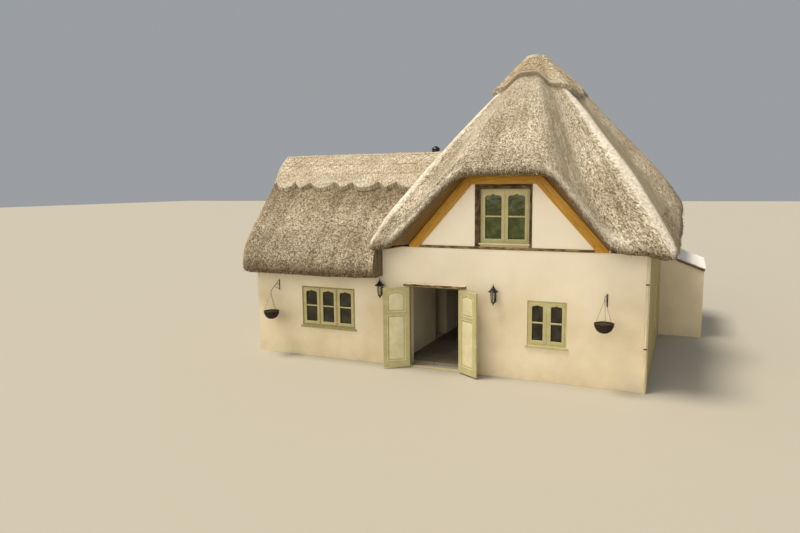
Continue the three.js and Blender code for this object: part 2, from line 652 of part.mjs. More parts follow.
function mainThatch(outer) {
  const clear = SOFFIT_THICK + GAP;
  const opening = outline(gableOutline(clear, EAVE_LOW - 100));
  const front = extrudeY(opening, fromFront(-HOOD_OUT - 100), fromFront(GABLE_WALL + 1));
  const rear = front.clone().rotateZ(Math.PI);
  const walls = box(-HALF - GAP, HALF + GAP, fromFront(-GAP), fromFront(MAIN_DEPTH + GAP), EAVE_LOW - 200, WALL_TOP);
  const arch = eyebrowArch(2 * GAP);
  const dormer = outline([[arch[0][0], EAVE_LOW - 200], ...arch, [arch[arch.length - 1][0], EAVE_LOW - 200]]);
  const recess = 430;
  const eyebrow = extrudeX(dormer, HALF - WALL - recess, HALF + GAP);
  let thatch = solid(outer).subtract(mainAttic());
  for (const tool of [front, rear, walls, eyebrow, flueHole()]) {
    thatch = thatch.subtract(solid(tool));
  }
  return surface(thatch);
}

// Ridge cap with a scalloped lower edge: wide round scallops with points between them
const CAP_THICK = 90;
const SCALLOP = { pitch: 1290, point: 540, drop: 150, start: -5750 };

// How far the edge hangs down at a place along the ridge, from 0 at its peaks to 1
function scallop(along) {
  const place = (((along - SCALLOP.start) % SCALLOP.pitch) + SCALLOP.pitch) % SCALLOP.pitch;
  const round = SCALLOP.pitch - SCALLOP.point;
  if (place < round) {
    return Math.sin(Math.PI * place / round) ** 0.7;
  }
  return 1 - Math.abs(place - round - SCALLOP.point / 2) / (SCALLOP.point / 2);
}

const CAP_START = 0.82;

function mainRidgeCap(outer) {
  const edge = mainEdge();
  const run = RIDGE_TOP - EAVE_LOW;
  const start = (at) => CAP_START - scallop(at.y) * SCALLOP.drop / run;
  const inside = edge.map((at) => mainSlope(at, start(at), -90));
  const skirt = (part) => edge.map((at) => mainSlope(at, mix(start(at), 1, part), CAP_THICK * 0.8));
  const whole = solid(loft([inside, ...[0, 0.35, 0.7, 1].map(skirt)]));
  return surface(whole.subtract(solid(outer).translate([0, 0, 2 * GAP])));
}

// Wing roof

const CAP_HALF = 885;

// Across the wing: a rolled eave, then a slope up to the ridge. The inset draws the whole section in,
// and the swell pushes the roll out where it meets the main roof.
function wingSection(inset, swell) {
  const half = WING_DEPTH / 2 + WING_EAVE_OUT - inset;
  const middle = fromFront(WING_DEPTH / 2);
  const low = WING_EAVE_LOW;
  const ridge = WING_RIDGE - inset * 0.3;
  const knee = [half - WING_ROLL.run + swell * 200, low + WING_ROLL.rise];
  const right = [
    [half - 260, low + 20], [half - 110, low], [half - 25, low + 70], [half + swell * 30, low + 180],
    [half - 20 + swell * 80, low + 340], [half - 105 + swell * 140, low + 540], knee,
    ...[0.3, 0.65, 0.97].map((t) => [mix(knee[0], 0, t), mix(knee[1], ridge, t)]),
  ];
  const left = right.map(([y, z]) => [-y, z]).reverse();
  return [...right, ...left].map(([y, z]) => [middle + y, z]);
}

function wingOuter(toX) {
  const verge = WING_END - WING_VERGE;
  const rounding = spread(0, 1, 6).map((t) => {
    const along = WING_ROLL.round * (1 - Math.cos(t * Math.PI / 2));
    return [verge + along, WING_ROLL.verge * (1 - Math.sin(t * Math.PI / 2)), 0];
  });
  const swells = [[-HALF - 900, 0, 0], [-HALF - 500, 0, 0.35], [-HALF, 0, 1], [toX, 0, 1]];
  const sections = [...rounding, ...swells];
  return loft(sections.map(([x, inset, swell]) => wingSection(inset, swell).map(([y, z]) => [x, y, z])));
}

// The main roof moved a hair towards each side, so that what it cuts keeps clear of it
function withClearance(manifold) {
  const shifts = [[-GAP * 1.3, 0, 0], [0, GAP * 1.3, 0], [0, -GAP * 1.3, 0], [0, 0, GAP], [0, 0, -GAP]];
  return shifts.reduce((whole, shift) => whole.add(manifold.translate(shift)), manifold);
}

function wingRoof(outer) {
  const reach = -1600;
  const main = withClearance(solid(outer));
  const rafters = wingRafters(2 * GAP);
  const low = WING_EAVE_LOW - 100;
  const room = outline([[rafters[0][0], low], ...rafters, [rafters[2][0], low]]);
  const space = extrudeX(room, WING_END - 2 * WING_VERGE, reach + 100);
  const y0 = fromFront(-GAP);
  const y1 = fromFront(WING_DEPTH + GAP);
  const walls = box(WING_END - GAP, reach + 100, y0, y1, low, WING_WALL_TOP);
  const blockFront = fromFront(-2 * WING_EAVE_OUT);
  const blockBack = fromFront(MAIN_DEPTH);
  const block = box(-HALF - GAP, reach + 100, blockFront, blockBack, low, WALL_TOP + 60);
  const attic = box(-HALF + ROOF_SEAT, reach + 100, blockFront, blockBack, low, WALL_TOP + 900);
  const whole = [space, walls, block, attic, flueHole()].map(solid).reduce((rest, tool) => rest.subtract(tool),
    solid(wingOuter(reach)));
  add("wing_thatch", surface(whole.subtract(main)), straw);

  const capSection = (x) => {
    const half = CAP_HALF + SCALLOP.drop * scallop(x);
    const lift = CAP_THICK * Math.hypot(1, WING_PITCH);
    const lower = WING_RIDGE - half * WING_PITCH;
    const under = 350;
    const side = [[half, lower - under], [half, lower + lift], [60, WING_RIDGE + lift - 60 * WING_PITCH]];
    const points = [...side, ...side.map(([y, z]) => [-y, z]).reverse()];
    return points.map(([y, z]) => [x, fromFront(WING_DEPTH / 2) + y, z]);
  };
  const stations = spread(WING_END - WING_VERGE + 30, reach, 48);
  const cap = solid(loft(stations.map(capSection)));
  const clear = solid(wingOuter(reach - 200)).translate([0, 0, 2 * GAP]);
  add("wing_ridge_cap", surface(cap.subtract(clear).subtract(main)), capStraw);
}

// Lanterns, hanging baskets, pipe and flue

function lantern(name, x, low) {
  const out = fromFront(-150);
  const wallFace = fromFront(-GAP);
  const pieces = [
    box(x - 32, x + 32, wallFace - 14, wallFace, low + 60, low + 250),
    bar([x, wallFace - 5, low + 90], [x, out, low + 40], 9),
    upright(34, 16, x, out, low, low + 60, 6),
    upright(62, 42, x, out, low + 55, low + 285, 6),
    upright(22, 104, x, out, low + 280, low + 385, 6),
    upright(30, 14, x, out, low + 380, low + 430, 6),
    upright(5, 12, x, out, low + 425, low + 490, 6),
  ];
  add(name, join(...pieces), blackIron);
}

function hangingBasket(side, x, plateLow, tipOut, tipZ, rim) {
  const wallFace = fromFront(-GAP);
  const tipY = fromFront(-tipOut);
  const plateTop = plateLow + 300;
  const pieces = [
    box(x - 12, x + 12, wallFace - 8, wallFace, plateLow, plateTop),
    bar([x, wallFace - 4, plateTop - 20], [x, tipY, tipZ], 7),
    bar([x, wallFace - 4, plateLow + 30], [x, mix(wallFace, tipY, 0.55), mix(plateTop - 20, tipZ, 0.55)], 6),
    bar([x, tipY, tipZ + 3], [x, tipY, tipZ - 45], 5),
  ];
  add(`basket_bracket_${side}`, join(...pieces), blackIron);

  const radius = 200;
  const depth = 210;
  const profile = [[0, rim - depth]];
  for (const angle of spread(15, 90, 6)) {
    const a = THREE.MathUtils.degToRad(angle);
    profile.push([radius * Math.sin(a), rim - depth * Math.cos(a)]);
  }
  profile.push([radius, rim + 8], [radius - 14, rim + 8], [radius - 20, rim - 18], [0, rim - 12]);
  const bowl = new THREE.LatheGeometry(profile.map(([r, z]) => new THREE.Vector2(r, z)), 20);
  bowl.rotateX(Math.PI / 2).translate(x, tipY, 0);
  const hook = tipZ - 45 - GAP;
  const chains = [0, 1, 2].map((turn) => {
    const angle = Math.PI / 2 + turn * 2 * Math.PI / 3;
    const foot = [x + (radius - 7) * Math.cos(angle), tipY + (radius - 7) * Math.sin(angle), rim + 4];
    return bar(foot, [x, tipY, hook - 12], 4);
  });
  add(`basket_${side}`, join(bowl, ...chains, upright(9, 9, x, tipY, hook - 24, hook, 8)), coir);
}

function pipeAndFlue() {
  const x = 3010;
  const y = fromFront(-34);
  const clips = [960, 2320].map((z) => box(x - 32, x + 32, y - 30, fromFront(-GAP), z - 14, z + 14));
  add("corner_pipe", join(upright(26, 26, x, y, 0, EAVE_LOW - 40), ...clips), creamPipe);
  const flueY = fromFront(FLUE.y);
  const pieces = [
    upright(FLUE.radius, FLUE.radius, FLUE.x, flueY, FLUE.foot, FLUE.top),
    upright(115, 115, FLUE.x, flueY, FLUE.top - 5, FLUE.top + 170),
    upright(40, 125, FLUE.x, flueY, FLUE.top + 165, FLUE.top + 250),
  ];
  add("flue", join(...pieces), blackIron);
}

// Sides that are drawn as a front and then turned to their place
const rearSide = new THREE.Group();
rearSide.rotation.z = Math.PI;
const rightSide = new THREE.Group();
rightSide.rotation.z = Math.PI / 2;
rightSide.position.set(HALF, 0, 0);
cottage.add(rearSide, rightSide);

frontWalls();
sideWalls();
floors();
gableWalls();
gableTimber();
windows();
doorFrame();
doors();
wingWalls();
leanTo();
const roof = mainOuter();
add("main_thatch", mainThatch(roof), straw);
add("main_ridge_cap", mainRidgeCap(roof), capStraw);
wingRoof(roof);
lantern("lantern_left", -3100, 1680);
lantern("lantern_right", -230, 1690);
hangingBasket("left", -6090, 1680, 400, 1715, 1190);
hangingBasket("right", 2220, 1780, 480, 2085, 1530);
pipeAndFlue();

export default cottage;
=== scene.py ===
# A thatched cottage: rendered walls, a hipped main roof that rolls over a boarded gable, a lower wing
# with a scalloped ridge, a lean-to, sage-green joinery and a pair of doors. Metres, +Z up, with the
# front wall towards -Y and the origin on the ground under the middle of the main block.
import math
import random

import bmesh
import bpy
import numpy as np
from mathutils import Euler, Matrix, Vector, noise


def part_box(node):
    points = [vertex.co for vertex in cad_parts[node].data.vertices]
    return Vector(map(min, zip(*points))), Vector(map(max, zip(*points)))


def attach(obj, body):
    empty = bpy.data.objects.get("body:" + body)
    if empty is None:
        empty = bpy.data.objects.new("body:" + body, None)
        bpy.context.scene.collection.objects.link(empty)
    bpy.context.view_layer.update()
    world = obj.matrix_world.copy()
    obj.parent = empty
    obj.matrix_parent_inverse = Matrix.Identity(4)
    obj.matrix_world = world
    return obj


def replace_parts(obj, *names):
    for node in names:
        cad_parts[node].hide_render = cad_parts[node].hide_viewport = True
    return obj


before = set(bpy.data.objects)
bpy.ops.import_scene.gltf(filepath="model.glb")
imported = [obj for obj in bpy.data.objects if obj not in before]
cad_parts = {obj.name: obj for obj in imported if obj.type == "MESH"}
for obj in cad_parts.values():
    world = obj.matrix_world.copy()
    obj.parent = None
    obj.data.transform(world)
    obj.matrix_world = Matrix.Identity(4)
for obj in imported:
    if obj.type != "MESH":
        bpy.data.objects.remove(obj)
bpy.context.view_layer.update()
scene = bpy.context.scene
random.seed(17)


# Camera
# It stands on the rise in front of the house, a little above the eaves, turned to the left and
# looking slightly down.
camera_data = bpy.data.cameras.new("camera")
camera_data.sensor_width = 36
camera_data.lens = 28.8
camera_data.clip_end = 500
camera = bpy.data.objects.new("camera", camera_data)
CAMERA_AT = (3.671, -18.5, 4.4)
LOOKS_DOWN = math.radians(7.21)
LOOKS_LEFT = math.radians(24.1)
LEANS = math.radians(-0.57)
camera_turn = Euler((math.pi / 2 - LOOKS_DOWN, 0, LOOKS_LEFT)).to_matrix() @ Matrix.Rotation(LEANS, 3, "Z")
camera.matrix_world = Matrix.Translation(CAMERA_AT) @ camera_turn.to_4x4()
scene.collection.objects.link(camera)
scene.camera = camera


# Floor and studio light
# A plain pale floor, an even pale sky, one soft sun high over the house, a little to its left, and a
# very wide light in front that stands for the bright garden and sky behind the camera.
def linear(hex_colour):
    """An sRGB hex colour as linear red, green, blue and alpha."""
    channels = [int(hex_colour[i:i + 2], 16) / 255 for i in (1, 3, 5)]
    return (*[c / 12.92 if c <= 0.04045 else ((c + 0.055) / 1.055) ** 2.4 for c in channels], 1)


def set_up(node, settings=None, links=None):
    """Sets a node's values and colour stops, and links its sockets from other nodes."""
    for key, value in (settings or {}).items():
        if key == "stops":
            stops = node.color_ramp.elements
            while len(stops) < len(value):
                stops.new(0.5)
            for stop, (place, colour) in zip(stops, value):
                stop.position = place
                stop.color = linear(colour)
        elif isinstance(key, int) or key in node.inputs:
            node.inputs[key].default_value = value
        else:
            setattr(node, key, value)
    for key, source in (links or {}).items():
        socket = source if hasattr(source, "is_linked") else source.outputs[0]
        node.id_data.links.new(node.inputs[key], socket)
    return node


def add_node(tree, kind, settings=None, links=None):
    """Adds a node and sets it up."""
    return set_up(tree.nodes.new(kind), settings, links)


def new_finish(name):
    """A new material, its node tree and its shader."""
    finish = bpy.data.materials.new(name)
    finish.use_nodes = True
    return finish, finish.node_tree, finish.node_tree.nodes["Principled BSDF"]


def flat_places(mesh):
    """Texture places in metres for each corner of each face, looking square at the face's main side."""
    normals = np.zeros(len(mesh.polygons) * 3)
    mesh.polygons.foreach_get("normal", normals)
    sizes = np.zeros(len(mesh.polygons), int)
    mesh.polygons.foreach_get("loop_total", sizes)
    corners = np.zeros(len(mesh.loops), int)
    mesh.loops.foreach_get("vertex_index", corners)
    points = np.zeros(len(mesh.vertices) * 3)
    mesh.vertices.foreach_get("co", points)
    axis = np.repeat(np.abs(normals.reshape(-1, 3)).argmax(axis=1), sizes)
    x, y, z = points.reshape(-1, 3)[corners].T
    return np.stack([np.where(axis == 0, y, x), np.where(axis == 2, y, z)], axis=1)


def new_piece(name, points, faces, finish, uv=None, smooth=True):
    """A mesh piece from points and faces, with one place in the texture for each corner of a face."""
    mesh = bpy.data.meshes.new(name)
    mesh.from_pydata(points, [], faces)
    mesh.update()
    uv = flat_places(mesh) if uv is None else uv
    mesh.uv_layers.new(name="UVMap").data.foreach_set("uv", np.asarray(uv, np.float32).ravel())
    mesh.materials.append(finish)
    if smooth:
        mesh.shade_smooth()
    else:
        mesh.shade_flat()
    piece = bpy.data.objects.new(name, mesh)
    scene.collection.objects.link(piece)
    return piece


floor_finish, tree, shader = new_finish("studio_floor")
set_up(shader, {"Base Color": linear("#B3AEA2"), "Roughness": 0.9})
FLOOR_REACH = 150
FLOOR_DOWN = 0.002
corners = [(x * FLOOR_REACH, y * FLOOR_REACH, -FLOOR_DOWN) for x, y in ((-1, -1), (1, -1), (1, 1), (-1, 1))]
studio_floor = new_piece("studio_floor", corners, [(0, 1, 2, 3)], floor_finish)

scene.view_settings.view_transform = "Standard"
sky = bpy.data.worlds.new("studio_sky")
sky.use_nodes = True
sky.node_tree.nodes["Background"].inputs["Color"].default_value = linear("#E4E9EE")
sky.node_tree.nodes["Background"].inputs["Strength"].default_value = 0.42
scene.world = sky


def add_sun(name, towards, strength, spread, colour):
    """A distant light: the way towards it, its strength and how many degrees wide it is."""
    light = bpy.data.lights.new(name, "SUN")
    light.energy = strength
    light.angle = math.radians(spread)
    light.color = linear(colour)[:3]
    sun = bpy.data.objects.new(name, light)
    sun.rotation_euler = Vector(towards).to_track_quat("Z", "Y").to_euler()
    scene.collection.objects.link(sun)


add_sun("high_sun", (-0.32, -0.2, 0.93), 3.15, 22, "#FFF3DE")
add_sun("front_fill", (-0.22, -0.93, 0.34), 1.6, 70, "#FFF4E0")


# Rendered walls
# Rubble and cob walls about 0.4 m thick, coated with lime render thrown on by hand, floated off and
# limewashed cream. They are one mass, standing on the ground.
def dress(finish, *nodes):
    """Gives CAD nodes a finish."""
    for node in nodes:
        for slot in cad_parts[node].material_slots:
            slot.material = finish


# Lime render has no gloss. The float leaves slow hollows of a few millimetres and a sandy skin, the
# wash lies unevenly and rain splashes the foot of the wall. High up the wall the wash is painted paler, a
# painted highlight.
lime_render, tree, shader = new_finish("floated_lime_render")
place = add_node(tree, "ShaderNodeTexCoord").outputs["Object"]
wash = add_node(tree, "ShaderNodeTexNoise", {"Scale": 0.9, "Detail": 5, "Roughness": 0.6}, {"Vector": place})
wash_colour = add_node(tree, "ShaderNodeValToRGB", {"stops": [
    (0.32, "#D8CBAA"), (0.5, "#E2D6BA"), (0.7, "#E9DFC9")]}, {"Fac": wash})
brushing = add_node(tree, "ShaderNodeTexNoise", {"Scale": 14, "Detail": 4, "Roughness": 0.7},
                    {"Vector": place})
brushed = add_node(tree, "ShaderNodeMixRGB", {"blend_type": "OVERLAY", "Fac": 0.1},
                   {"Color1": wash_colour, "Color2": brushing.outputs["Color"]})
height = add_node(tree, "ShaderNodeSeparateXYZ", {}, {"Vector": place}).outputs["Z"]
splash = add_node(tree, "ShaderNodeMapRange", {"From Min": 0.45, "From Max": 0.0, "To Max": 0.6},
                  {"Value": height})
ragged = add_node(tree, "ShaderNodeTexNoise", {"Scale": 5, "Detail": 6}, {"Vector": place})
splashed = add_node(tree, "ShaderNodeMath", {"operation": "MULTIPLY", "use_clamp": True},
                    {0: splash, 1: ragged})
splashed_wash = add_node(tree, "ShaderNodeMixRGB", {"Color2": linear("#BBA97C")},
                         {"Fac": splashed, "Color1": brushed})
# Painted highlight: the render is mixed paler towards the top of the wall.
painted_light_high = add_node(tree, "ShaderNodeMapRange", {"From Min": 1.4, "From Max": 3.1, "To Max": 0.8},
               {"Value": height})
lit_high_wash = add_node(tree, "ShaderNodeMixRGB", {"Color2": linear("#FDF6E8")},
                    {"Fac": painted_light_high, "Color1": splashed_wash})
hollows = add_node(tree, "ShaderNodeBump", {"Strength": 0.6, "Distance": 0.012}, {
    "Height": add_node(tree, "ShaderNodeTexNoise", {"Scale": 3.2, "Detail": 2}, {"Vector": place})})
sand = add_node(tree, "ShaderNodeBump", {"Strength": 0.35, "Distance": 0.002}, {
    "Height": add_node(tree, "ShaderNodeTexNoise", {"Scale": 90, "Detail": 3}, {"Vector": place}),
    "Normal": hollows})
set_up(shader, {"Roughness": 0.92, "Diffuse Roughness": 0.5}, {"Base Color": lit_high_wash, "Normal": sand})
dress(lime_render, "front_wall_left", "front_wall_over_door", "left_wall", "front_gable_wall",
      "rear_gable_wall", "wing_front_wall", "wing_back_wall", "wing_end_wall", "leanto_walls")


def aged(finish, name):
    """A copy of a finish under a new name, its node tree, its shader and the socket that colours it."""
    copy = finish.copy()
    copy.name = name
    shader = copy.node_tree.nodes["Principled BSDF"]
    return copy, copy.node_tree, shader, shader.inputs["Base Color"].links[0].from_socket


# The main block's right side gets little sun: the same render, painted darker and green-brown on that face
# alone, as painted shade.
shaded_render, tree, shader, clean = aged(lime_render, "side_shaded_render")
SIDE_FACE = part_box("right_wall")[1].x
place = add_node(tree, "ShaderNodeTexCoord").outputs["Object"]
across = add_node(tree, "ShaderNodeSeparateXYZ", {}, {"Vector": place}).outputs["X"]
on_side = add_node(tree, "ShaderNodeMapRange", {"From Min": SIDE_FACE - 0.005, "From Max": SIDE_FACE - 0.001},
                   {"Value": across})
# Painted shade: the right side's face is multiplied darker and greener.
painted_side_shade = add_node(tree, "ShaderNodeMixRGB", {"blend_type": "MULTIPLY", "Color2": linear("#BDB488")},
                 {"Fac": on_side, "Color1": clean})
set_up(shader, {}, {"Base Color": painted_side_shade})
dress(shaded_render, "front_wall_right", "right_wall", "back_wall")


# Main roof thatch
# Water reed laid in courses over battens and dressed to one smooth face, about 0.4 m thick. The cut
# ends of the reeds make a stippled coat that rolls over the eaves and round the hood.

# The walls below, and how far in from their faces the rafters stand
house_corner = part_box("back_wall")[1]
MAIN_HALF = house_corner.x
MAIN_DEPTH = 2 * house_corner.y
WALL_TOP = house_corner.z
WALL = 0.39
GABLE_WALL = 0.3
ROOF_SEAT = 0.2
GAP = 0.0003

# The eaves and their corners, and the lip of the hood over the gable, with its lean at top and foot
EAVE_OUT = 0.504
LEFT_EAVE_OUT = 0.1
EAVE_LOW = 2.92
EAVE_SAG = 0.05
CORNER_ROUND = 0.14
CORNER_DROOP = 0.05
CORNER_SHARP = 0.4
HOOD_OUT = 0.6
HOOD_LOW = 4.59
HOOD_TOP_HALF = 1.01
HOOD_FOOT_HALF = 2.46
HOOD_FOOT_LOW = 2.98
HOOD_LEAN = (0.05, -0.1)

# The ridge, the rim that rolls over the eave, the face's bulge, and the eyebrow on the right side
RIDGE_TOP = 7.45
RIDGE_END = 2.2
RIDGE_X = 0.15
RIDGE_ROUND = 0.15
RIM_RISE = 0.15
CROWN = 0.2
EYEBROW = {"middle": 3.2, "half": 1.5, "rise": 0.88, "wall_rise": 0.796}


def from_front(distance):
    """The y of a place behind the front wall's face."""
    return distance - MAIN_DEPTH / 2


def mix(a, b, t):
    """The value a share t of the way from a to b."""
    return a + (b - a) * t


def eyebrow_swell(distance):
    """How far the eyebrow swells, from 0 beside it to 1 at its middle."""
    off = (distance - EYEBROW["middle"]) / EYEBROW["half"]
    return 0.5 + 0.5 * math.cos(math.pi * off) if abs(off) < 1 else 0


def hood_lean(z):
    """How far the front hood's lip stands to the right of the middle at a height; the rear's is turned."""
    return mix(*HOOD_LEAN, (HOOD_LOW - z) / (HOOD_LOW - HOOD_FOOT_LOW))


def main_stations():
    """Places round the main roof's lower edge: x, y, z, the way out, and the ridge point above."""
    quarter = [[x, -HOOD_OUT, HOOD_LOW, 0, -1] for x in np.linspace(0, HOOD_TOP_HALF, 4)]
    for t in np.linspace(0, 1, 7)[1:]:
        across = mix(HOOD_TOP_HALF, HOOD_FOOT_HALF, t)
        quarter.append([across, -HOOD_OUT, mix(HOOD_LOW, HOOD_FOOT_LOW, t), 0, -1])
    corner_x = MAIN_HALF + EAVE_OUT - CORNER_ROUND
    corner_y = CORNER_ROUND - HOOD_OUT
    quarter.append([mix(HOOD_FOOT_HALF, corner_x, 0.5), -HOOD_OUT, EAVE_LOW + EAVE_SAG, 0, -1])
    for angle in np.linspace(0, math.pi / 2, 4):
        out_x, out_y = math.sin(angle), -math.cos(angle)
        middle = math.sin(2 * angle)
        sharp = 1 + CORNER_SHARP * middle
        quarter.append([corner_x + CORNER_ROUND * out_x, corner_y + CORNER_ROUND * out_y,
                        EAVE_LOW - CORNER_DROOP * middle, out_x * sharp, out_y * sharp])
    for i, at in enumerate(quarter):
        angle = i / (len(quarter) - 1) * math.pi / 2
        at += [RIDGE_X + RIDGE_ROUND * math.sin(angle), RIDGE_END - RIDGE_ROUND * math.cos(angle)]
    for t in np.linspace(0, 1, 13)[1:]:
        quarter.append([MAIN_HALF + EAVE_OUT, mix(corner_y, MAIN_DEPTH / 2, t), EAVE_LOW, 1, 0,
                        RIDGE_X + RIDGE_ROUND, mix(RIDGE_END, MAIN_DEPTH / 2, t)])
    back = [[x, MAIN_DEPTH - y, z, ox, -oy, rx, MAIN_DEPTH - ry] for x, y, z, ox, oy, rx, ry in quarter]
    right = quarter + back[:-1][::-1]
    pull = LEFT_EAVE_OUT - EAVE_OUT
    left = [[-x - (pull if x > HOOD_FOOT_HALF else 0), y, z, -ox, oy, 2 * RIDGE_X - rx, ry]
            for x, y, z, ox, oy, rx, ry in right[1:-1]][::-1]
    for at in right:
        at[2] += EYEBROW["rise"] * eyebrow_swell(at[1]) if at[3] == 1 else 0
    for at in right + left:
        if abs(at[0]) < HOOD_FOOT_HALF + GAP and at[2] > HOOD_FOOT_LOW - GAP and abs(at[4]) == 1:
            at[0] += math.copysign(1, -at[4]) * hood_lean(at[2])
    return np.array(right + left)


def resample(stations, count, soften, crisp=None):
    """Evenly spaced places round the closed row of stations, softened over a distance, less at its hips."""
    closed = np.vstack([stations, stations[:1]])
    walk = np.r_[0, np.cumsum(np.linalg.norm(np.diff(closed[:, :3], axis=0), axis=1))]
    even = np.linspace(0, walk[-1], count, endpoint=False)
    rows = np.array([np.interp(even, walk, column) for column in closed.T]).T
    spacing = walk[-1] / count
    versions = []
    for distance in (soften, crisp or soften):
        reach = max(1, int(3 * distance / spacing))
        weights = np.exp(-0.5 * (np.arange(-reach, reach + 1) * spacing / distance) ** 2)
        weights /= weights.sum()
        padded = np.vstack([rows[-reach:], rows, rows[:reach]])
        versions.append(np.array([np.convolve(column, weights, "valid") for column in padded.T]).T)
    if crisp is None:
        return versions[0], even
    hip = np.clip(5 * np.abs(versions[0][:, 3] * versions[0][:, 4]), 0, 1)[:, None]
    return mix(versions[0], versions[1], hip), even


def main_slope(at, t, out=0.0):
    """A row of points of the main roof's face: t is 0 above the rim and 1 at the ridge."""
    crown = CROWN * np.sin(math.pi * t ** 0.7) + out
    return np.stack([
        mix(at[:, 0], at[:, 5], t) + crown * at[:, 3],
        from_front(mix(at[:, 1], at[:, 6], t) + crown * at[:, 4]),
        mix(at[:, 2] + RIM_RISE, RIDGE_TOP, t) + out,
    ], axis=1)


def rim_row(at, inset, rise):
    """A row of points of the rolled eave: how far in from its outer face and above its foot."""
    x, y, z = at[:, 0] - inset * at[:, 3], from_front(at[:, 1] - inset * at[:, 4]), at[:, 2] + rise
    return np.stack([x, y, z], axis=1)


# From under the eave, out and round the roll and up its face: how far in, and how far above the foot
RIM = [(0.42, 0.02), (0.30, 0.01), (0.19, 0.0), (0.12, -0.006), (0.06, -0.004), (0.025, 0.02), (0.005, 0.06),
       (-0.004, 0.1), (-0.002, 0.14)]


def roll_out(rings, walk):
    """Faces and texture places of a closed skin through rings, with a fan over its first and last."""
    count, width = rings.shape[:2]
    down = np.r_[0, np.cumsum(np.linalg.norm(np.diff(rings, axis=0), axis=2).mean(axis=1))]
    around = np.r_[walk, 2 * walk[-1] - walk[-2]]
    row, column = np.meshgrid(np.arange(count - 1), np.arange(width), indexing="ij")
    turns = [(0, 0), (0, 1), (1, 1), (1, 0)]
    faces = np.stack([(row + i) * width + (column + k) % width for i, k in turns], axis=-1).reshape(-1, 4)
    uv = [np.stack([around[column + k], down[row + i]], axis=-1) for i, k in turns]
    uv = np.stack(uv, axis=2).reshape(-1, 2)
    points = np.vstack([rings.reshape(-1, 3), rings[0].mean(axis=0), rings[-1].mean(axis=0)])
    steps = np.arange(width)
    nexts = (steps + 1) % width
    first = np.stack([nexts, steps, np.full(width, count * width)], axis=1)
    top = (count - 1) * width
    last = np.stack([top + steps, top + nexts, np.full(width, count * width + 1)], axis=1)
    fans = [tuple(face) for face in np.vstack([first, last]).tolist()]
    fan_uv = np.zeros((len(fans) * 3, 2))
    fan_uv[:, 0] = np.repeat(np.r_[walk, walk], 3)
    return points.tolist(), [tuple(face) for face in faces.tolist()] + fans, np.vstack([uv, fan_uv])


def hand_dressed(rings, depths):
    """Pushes the points of a skin in and out along its normals, by slow and quick noise."""
    across = np.roll(rings, -1, axis=1) - np.roll(rings, 1, axis=1)
    along = np.gradient(rings, axis=0)
    normal = np.cross(across, along)
    normal /= np.maximum(np.linalg.norm(normal, axis=2, keepdims=True), 1e-9)
    push = np.zeros(rings.shape[:2])
    for size, depth in depths:
        flat = [noise.noise(Vector(point) / size) for point in rings.reshape(-1, 3)]
        push += depth * np.array(flat).reshape(push.shape)
    return rings + normal * push[:, :, None]


def drum_faces(rows, sides):
    """The faces of a closed skin through rows of points: its sides, row by row, and its two ends."""
    faces = [(row + i, row + (i + 1) % sides, row + (i + 1) % sides + sides, row + i + sides)
             for row in range(0, (rows - 1) * sides, sides) for i in range(sides)]
    return faces + [tuple(range(sides))[::-1], tuple(range((rows - 1) * sides, rows * sides))]


def closed_solid(points, rows):
    """A solid through rows of points, its faces turned outwards."""
    solid = new_piece("tool", points, drum_faces(rows, len(points) // rows), lime_render)
    shape = bmesh.new()
    shape.from_mesh(solid.data)
    bmesh.ops.recalc_face_normals(shape, faces=shape.faces)
    shape.to_mesh(solid.data)
    shape.free()
    return solid


def lofted(sections):
    """A closed solid through outlines that stand one behind the other, each given with its y."""
    return closed_solid([(x, y, z) for outline, y in sections for x, z in outline], len(sections))


def prism(outline, axis, start, end):
    """A closed solid: an outline in the two other axes, drawn out along x or y."""
    if axis == "y":
        return lofted([(outline, start), (outline, end)])
    return closed_solid([(x, y, z) for x in (start, end) for y, z in outline], 2)


def carve(piece, tools, operation="DIFFERENCE"):
    """Cuts closed tools out of a closed piece, or keeps what they share."""
    for tool in tools:
        cut = piece.modifiers.new("cut", "BOOLEAN")
        cut.operation = operation
        cut.solver = "MANIFOLD"
        cut.object = tool
    bpy.context.view_layer.update()
    shaped = piece.evaluated_get(bpy.context.evaluated_depsgraph_get())
    mesh = bpy.data.meshes.new_from_object(shaped)
    piece.modifiers.clear()
    piece.data = mesh
    for tool in tools:
        bpy.data.objects.remove(tool)
    return piece


# Cut reed ends, grey-gold and matt: each tuft is a pale or dark fleck about 25 mm across in the
# dressed face, rain draws streaks down the slope, and where the coat faces down it is painted darker,
# as painted shade. On the right-hand slope the stems lie bare and combed, greyer and darker than the
# ends, the darkness partly painted shade. The hips and the hood's rolled edge get a painted highlight, marked
# in a second texture map of the mesh.
reed, tree, shader = new_finish("dressed_water_reed")
coords = add_node(tree, "ShaderNodeTexCoord")
place = coords.outputs["Object"]
combed = add_node(tree, "ShaderNodeMapping", {"Scale": (1, 0.8, 1)}, {"Vector": coords.outputs["UV"]})
ends = add_node(tree, "ShaderNodeTexNoise", {"Scale": 64, "Detail": 2, "Roughness": 0.7}, {"Vector": combed})
flecks = add_node(tree, "ShaderNodeTexVoronoi", {"Scale": 37}, {"Vector": combed})
fleck = add_node(tree, "ShaderNodeSeparateColor", {}, {"Color": flecks.outputs["Color"]})
grain = add_node(tree, "ShaderNodeMath", {"operation": "MULTIPLY_ADD", 1: 0.5}, {0: fleck, 2: ends})
straw = add_node(tree, "ShaderNodeValToRGB", {"stops": [
    (0.44, "#5A4A35"), (0.58, "#948368"), (0.72, "#C1B399"), (0.86, "#E2D8C4"), (1.0, "#FAF5EA")]},
    {"Fac": grain})
rain = add_node(tree, "ShaderNodeMapping", {"Scale": (5.5, 0.25, 1)}, {"Vector": coords.outputs["UV"]})
